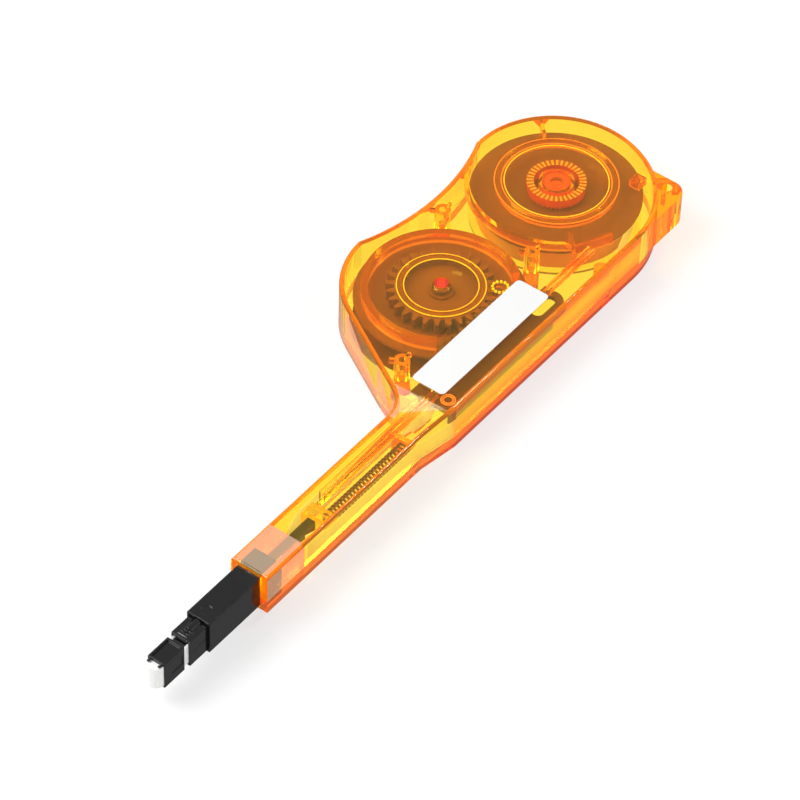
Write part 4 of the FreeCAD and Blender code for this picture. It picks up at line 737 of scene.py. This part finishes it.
class CLEANPEN_OT_ring_fillets(PenOperator, bpy.types.Operator):
    """Makes the fillets where the cover's rings meet its plate, which glow as painted highlight lines"""
    bl_idname = "cleanpen.ring_fillets"
    bl_label = "Ring Fillets"

    def execute(self, context):
        case = self.settings(context)[0]
        thick = case.fillet
        height = PLATE_UNDER - thick
        takeup, supply = middle("drive_gear"), middle("supply_roll")
        ring_wall = 0.0016
        takeup_ring, supply_ring, inner_ring = 0.0119, 0.0170, 0.01446
        corner = Vector(case.corner_ring)
        # Painted highlights: bright yellow glowing fillets, and deep orange glowing ones on the supply ring and
        # the corner ring.
        bright = fillet_plastic("painted highlight fillet", (1.0, 0.62, 0.06))
        deep = fillet_plastic("painted glow fillet", (1.0, 0.24, 0.07))
        for name, centre, radii, material in (
            ("takeup_fillets", takeup, (takeup_ring + thick, takeup_ring - ring_wall - thick), bright),
            ("supply_fillets", supply, (supply_ring + thick, supply_ring - ring_wall - thick), deep),
            ("supply_inner_fillet", supply, (inner_ring,), bright),
            ("corner_fillet", corner, (0.0019, 0.0013), deep),
        ):
            bm = bmesh.new()
            for radius in radii:
                made = bmesh.ops.create_circle(bm, segments=8, radius=thick * 0.92)["verts"]
                bmesh.ops.rotate(bm, verts=made, cent=(0, 0, 0), matrix=Matrix.Rotation(math.pi / 2, 3, "X"))
                bmesh.ops.translate(bm, verts=made, vec=(centre.x + radius, centre.y, height))
                edges = list({edge for vert in made for edge in vert.link_edges})
                bmesh.ops.spin(bm, geom=made + edges, cent=(centre.x, centre.y, height), axis=(0, 0, 1),
                               angle=2 * math.pi, steps=96, use_merge=True, use_duplicate=False)
            bmesh.ops.recalc_face_normals(bm, faces=bm.faces)
            piece = from_bmesh(name, bm)
            piece.data.materials.append(material)
            smooth(piece, math.radians(80))
            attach(piece, "case")
        return {"FINISHED"}


class CLEANPEN_OT_label(PenOperator, bpy.types.Operator):
    """Makes the bare white label in its recess"""
    bl_idname = "cleanpen.label"
    bl_label = "Bare Label"

    def execute(self, context):
        case, _, tip, _ = self.settings(context)
        dress("label", "bare_label", "case", [label_film(tip)], case.crease)
        return {"FINISHED"}


class CLEANPEN_OT_reels(PenOperator, bpy.types.Operator):
    """Makes the take-up and supply reels with their wound tape"""
    bl_idname = "cleanpen.reels"
    bl_label = "Reels and Rolls"

    def execute(self, context):
        case, drive, tip, _ = self.settings(context)
        amber = drive_plastic("amber plastic", drive.amber)
        # The supply laps take the shaded tape colour: painted shade on the white tape between the discs.
        for side, hub, shade in (("takeup", amber, tip.white), ("supply", shell_plastic(case), drive.shaded)):
            dress(f"{side}_reel", f"{side}_hub", side, [hub], case.crease, inset=case.gap)
            dress(f"{side}_flange", f"{side}_disc", side, [amber], case.crease)
            centre = middle(f"{side}_roll")
            laps = wound_tape(f"wound tape {side}", centre.x, centre.y, shade)
            dress(f"{side}_roll", f"{side}_laps", side, [laps], case.crease)
        return {"FINISHED"}


class CLEANPEN_OT_drive(PenOperator, bpy.types.Operator):
    """Makes the gear, the rack slider, the push rod and the spring carriage"""
    bl_idname = "cleanpen.drive"
    bl_label = "Gear and Rack"

    def execute(self, context):
        case, drive, _, _ = self.settings(context)
        amber = drive_plastic("amber plastic", drive.amber)
        umber = drive_plastic("umber plastic", drive.umber)
        dress("drive_gear", "gear_wheel", "gear", [amber], case.crease)
        dress("rack_slider", "rack", "plunger", [umber], case.crease)
        clear = shell_plastic(case)
        dress("push_rod", "rod", "plunger", [clear], case.crease, inset=case.gap)
        dress("spring_carriage", "carriage", "plunger", [clear], case.crease, inset=case.gap)
        return {"FINISHED"}


class CLEANPEN_OT_springs(PenOperator, bpy.types.Operator):
    """Winds the return, clutch and head springs"""
    bl_idname = "cleanpen.springs"
    bl_label = "Springs"

    def execute(self, context):
        case, drive, _, _ = self.settings(context)
        steel = wire_steel()
        seat_depth = 0.002
        carriage_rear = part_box("spring_carriage")[1].x - seat_depth
        start = Vector((carriage_rear, -0.0246, 0.0095))
        end_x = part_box("return_spring")[1].x
        length = end_x - start.x
        spring = coil("return_coil", start, (1, 0, 0), drive.coil, drive.wire, drive.turns, length)
        self.finish(spring, steel, "case", "return_spring", case.crease)
        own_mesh(spring)
        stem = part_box("cleaning_head")[1].x
        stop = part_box("head_spring")[1].x
        start = Vector((stem, -0.02305, 0.0098))
        length = stop - stem
        spring = coil("head_coil", start, (1, 0, 0), drive.head_coil, drive.head_wire, drive.head_turns,
                      length, 0)
        self.finish(spring, steel, "plunger", "head_spring", case.crease)
        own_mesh(spring)
        gear = middle("drive_gear")
        hub_top = 0.0126
        start = Vector((gear.x, gear.y, hub_top))
        spring = coil("clutch_coil", start, (0, 0, 1), drive.clutch_coil, drive.clutch_wire,
                      drive.clutch_turns, PLATE_UNDER - hub_top, 0)
        self.finish(spring, steel, "case", "clutch_spring", case.crease)
        return {"FINISHED"}

    def finish(self, spring, steel, body, node, crease):
        """Gives a spring its wire finish, its body and the solid that it stands for."""
        spring.data.materials.append(steel)
        smooth(spring, crease * 2)
        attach(spring, body)
        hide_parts(node)


class CLEANPEN_OT_tape(PenOperator, bpy.types.Operator):
    """Makes the cleaning tape's runs and the loop round the tip"""
    bl_idname = "cleanpen.tape"
    bl_label = "Cleaning Tape"

    def execute(self, context):
        case, _, tip, _ = self.settings(context)
        tape = woven_tape(tip, "woven tape", tip.painted_tape_glow)
        # The tape round the tip gets a weaker painted glow.
        face = woven_tape(tip, "woven tape at the tip", tip.painted_tape_glow * 0.8)
        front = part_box("head_pad")[1].x
        dress("tape_head_loop", "tip_tape", "head", [tape, face], case.crease * 2,
              lambda centre, normal, foot: 1 if centre.x < front else 0)
        dress("tape_feed_run", "feed_tape", "case", [tape], case.crease)
        dress("tape_return_run", "return_tape", "case", [tape], case.crease)
        return {"FINISHED"}


class CLEANPEN_OT_tip(PenOperator, bpy.types.Operator):
    """Makes the sleeve, the neck, the head and the pad"""
    bl_idname = "cleanpen.tip"
    bl_label = "Sleeve and Head"

    def execute(self, context):
        case, _, tip, _ = self.settings(context)
        black = black_plastic(tip)
        for node, name, body in (("sleeve_upper", "sleeve_top", "plunger"),
                                 ("sleeve_lower", "sleeve_bottom", "plunger"),
                                 ("neck", "neck_block", "plunger"), ("cleaning_head", "head_block", "head")):
            dress(node, name, body, [black], case.crease)
        dress("head_pad", "tip_pad", "head", [pad_rubber(tip)], case.crease)
        return {"FINISHED"}


class CLEANPEN_OT_stage(PenOperator, bpy.types.Operator):
    """Makes the pale floor, the soft lamps, the world and the camera"""
    bl_idname = "cleanpen.stage"
    bl_label = "Stage"

    def execute(self, context):
        stage = self.settings(context)[3]
        self.floor(stage)
        self.world(context.scene)
        self.lamps()
        self.camera(context.scene, stage)
        context.scene.view_settings.view_transform = "Standard"
        return {"FINISHED"}

    def floor(self, stage):
        """A pale floor that keeps the shadow, and that clear plastic and gloss see as plain white."""
        bm = bmesh.new()
        bmesh.ops.create_grid(bm, x_segments=1, y_segments=1, size=stage.floor / 2)
        ground = from_bmesh("floor", bm)
        material, tree, shader, _ = finish_start("pale floor")
        shader.inputs["Base Color"].default_value = (0.92, 0.92, 0.92, 1)
        shader.inputs["Roughness"].default_value = 0.9
        glow = tree.nodes.new("ShaderNodeEmission")
        glow.inputs["Strength"].default_value = 1.0
        path = tree.nodes.new("ShaderNodeLightPath")
        half = tree.nodes.new("ShaderNodeMath")
        half.operation = "MULTIPLY"
        half.inputs[1].default_value = 0.66
        tree.links.new(path.outputs["Is Camera Ray"], half.inputs[0])
        lit = tree.nodes.new("ShaderNodeMixShader")
        tree.links.new(half.outputs["Value"], lit.inputs[0])
        tree.links.new(shader.outputs["BSDF"], lit.inputs[1])
        tree.links.new(glow.outputs["Emission"], lit.inputs[2])
        through = tree.nodes.new("ShaderNodeMath")
        through.operation = "MAXIMUM"
        dim = tree.nodes.new("ShaderNodeMath")
        dim.operation = "MULTIPLY"
        dim.inputs[1].default_value = 0.3
        tree.links.new(path.outputs["Is Glossy Ray"], dim.inputs[0])
        tree.links.new(path.outputs["Is Transmission Ray"], through.inputs[0])
        tree.links.new(dim.outputs["Value"], through.inputs[1])
        final = tree.nodes.new("ShaderNodeMixShader")
        mirrored = tree.nodes.new("ShaderNodeMath")
        mirrored.operation = "MAXIMUM"
        tree.links.new(path.outputs["Is Transmission Ray"], mirrored.inputs[0])
        tree.links.new(path.outputs["Is Glossy Ray"], mirrored.inputs[1])
        seen = tree.nodes.new("ShaderNodeEmission")
        tree.links.new(through.outputs["Value"], seen.inputs["Strength"])
        tree.links.new(mirrored.outputs["Value"], final.inputs[0])
        tree.links.new(lit.outputs["Shader"], final.inputs[1])
        tree.links.new(seen.outputs["Emission"], final.inputs[2])
        tree.links.new(final.outputs["Shader"], tree.nodes["Material Output"].inputs["Surface"])
        ground.data.materials.append(material)

    def world(self, scene):
        """White where it is seen, and half as bright as a light."""
        world = bpy.data.worlds.new("studio")
        scene.world = world
        world.use_nodes = True
        tree = world.node_tree
        back = tree.nodes["Background"]
        path = tree.nodes.new("ShaderNodeLightPath")
        seen = tree.nodes.new("ShaderNodeMath")
        seen.operation = "MAXIMUM"
        tree.links.new(path.outputs["Is Camera Ray"], seen.inputs[0])
        tree.links.new(path.outputs["Is Transmission Ray"], seen.inputs[1])
        strength = tree.nodes.new("ShaderNodeMapRange")
        strength.inputs["To Min"].default_value = 0.45
        strength.inputs["To Max"].default_value = 1.0
        tree.links.new(seen.outputs["Value"], strength.inputs["Value"])
        tree.links.new(strength.outputs["Result"], back.inputs["Strength"])
        back.inputs["Color"].default_value = (1, 1, 1, 1)

    def lamps(self):
        """Name, place, aim, size and power of each square lamp."""
        for name, place, aim, size, power in (
            ("softbox", (-0.40, 0.50, 0.80), (0.02, 0, 0), 0.6, 10.0),
            ("fill", (-0.10, -0.75, 0.35), (0, 0, 0), 0.5, 0.8),
            ("edge light", (0.62, -0.48, 0.80), (-0.06, -0.02, 0.01), 0.16, 2.4),
            ("panel", (0.84, 0.472, 0.72), (0, -0.02, 0.015), 0.06, 0.05),
        ):
            lamp = bpy.data.lights.new(name, "AREA")
            lamp.shape = "SQUARE"
            lamp.size = size
            lamp.energy = power
            holder = link(bpy.data.objects.new(name, lamp))
            turn = (Vector(aim) - Vector(place)).to_track_quat("-Z", "Y").to_matrix().to_4x4()
            holder.matrix_world = Matrix.Translation(place) @ turn

    def camera(self, scene, stage):
        """A long lens that looks down on the pen from its tip's near side."""
        lens = bpy.data.cameras.new("camera")
        lens.lens = stage.lens
        lens.sensor_width = 36
        lens.clip_end = 20
        holder = link(bpy.data.objects.new("camera", lens))
        a, e, r = stage.azimuth, stage.elevation, stage.roll
        back = Vector((math.sin(a) * math.cos(e), -math.cos(a) * math.cos(e), math.sin(e)))
        right = Vector((math.cos(a), math.sin(a), 0))
        up = back.cross(right)
        across = right * math.cos(r) + up * math.sin(r)
        upward = back.cross(across)
        target = Vector((0.00715, -0.0072, 0))
        turn = Matrix((across, upward, back)).transposed()
        holder.matrix_world = Matrix.Translation(target + back * stage.distance) @ turn.to_4x4()
        scene.camera = holder


OPERATORS = (CLEANPEN_OT_case, CLEANPEN_OT_rosette, CLEANPEN_OT_ring_fillets, CLEANPEN_OT_label,
             CLEANPEN_OT_reels, CLEANPEN_OT_drive, CLEANPEN_OT_springs, CLEANPEN_OT_tape, CLEANPEN_OT_tip,
             CLEANPEN_OT_stage)
SETTINGS = (("pen_case", PenCaseSettings), ("pen_drive", PenDriveSettings), ("pen_tip", PenTipSettings),
            ("pen_stage", PenStageSettings))


class CLEANPEN_PT_panel(bpy.types.Panel):
    """The pen's pieces and sizes in the 3D view's sidebar"""
    bl_idname = "CLEANPEN_PT_panel"
    bl_label = "Cleaning Pen"
    bl_space_type = "VIEW_3D"
    bl_region_type = "UI"
    bl_category = "Cleaning Pen"

    def draw(self, context):
        for operator in OPERATORS:
            self.layout.operator(operator.bl_idname)
        for name, group in SETTINGS:
            box = self.layout.box()
            for key in group.__annotations__:
                box.prop(getattr(context.scene, name), key)


CLASSES = tuple(group for _, group in SETTINGS) + OPERATORS + (CLEANPEN_PT_panel,)


def register():
    for item in CLASSES:
        bpy.utils.register_class(item)
    for name, group in SETTINGS:
        setattr(bpy.types.Scene, name, PointerProperty(type=group))


def unregister():
    for name, _ in SETTINGS:
        delattr(bpy.types.Scene, name)
    for item in reversed(CLASSES):
        bpy.utils.unregister_class(item)


def main():
    """Builds the pen on its frame."""
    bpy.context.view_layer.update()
    register()
    for operator in OPERATORS:
        category, name = operator.bl_idname.split(".")
        getattr(getattr(bpy.ops, category), name)()


if __name__ == "__main__":
    main()
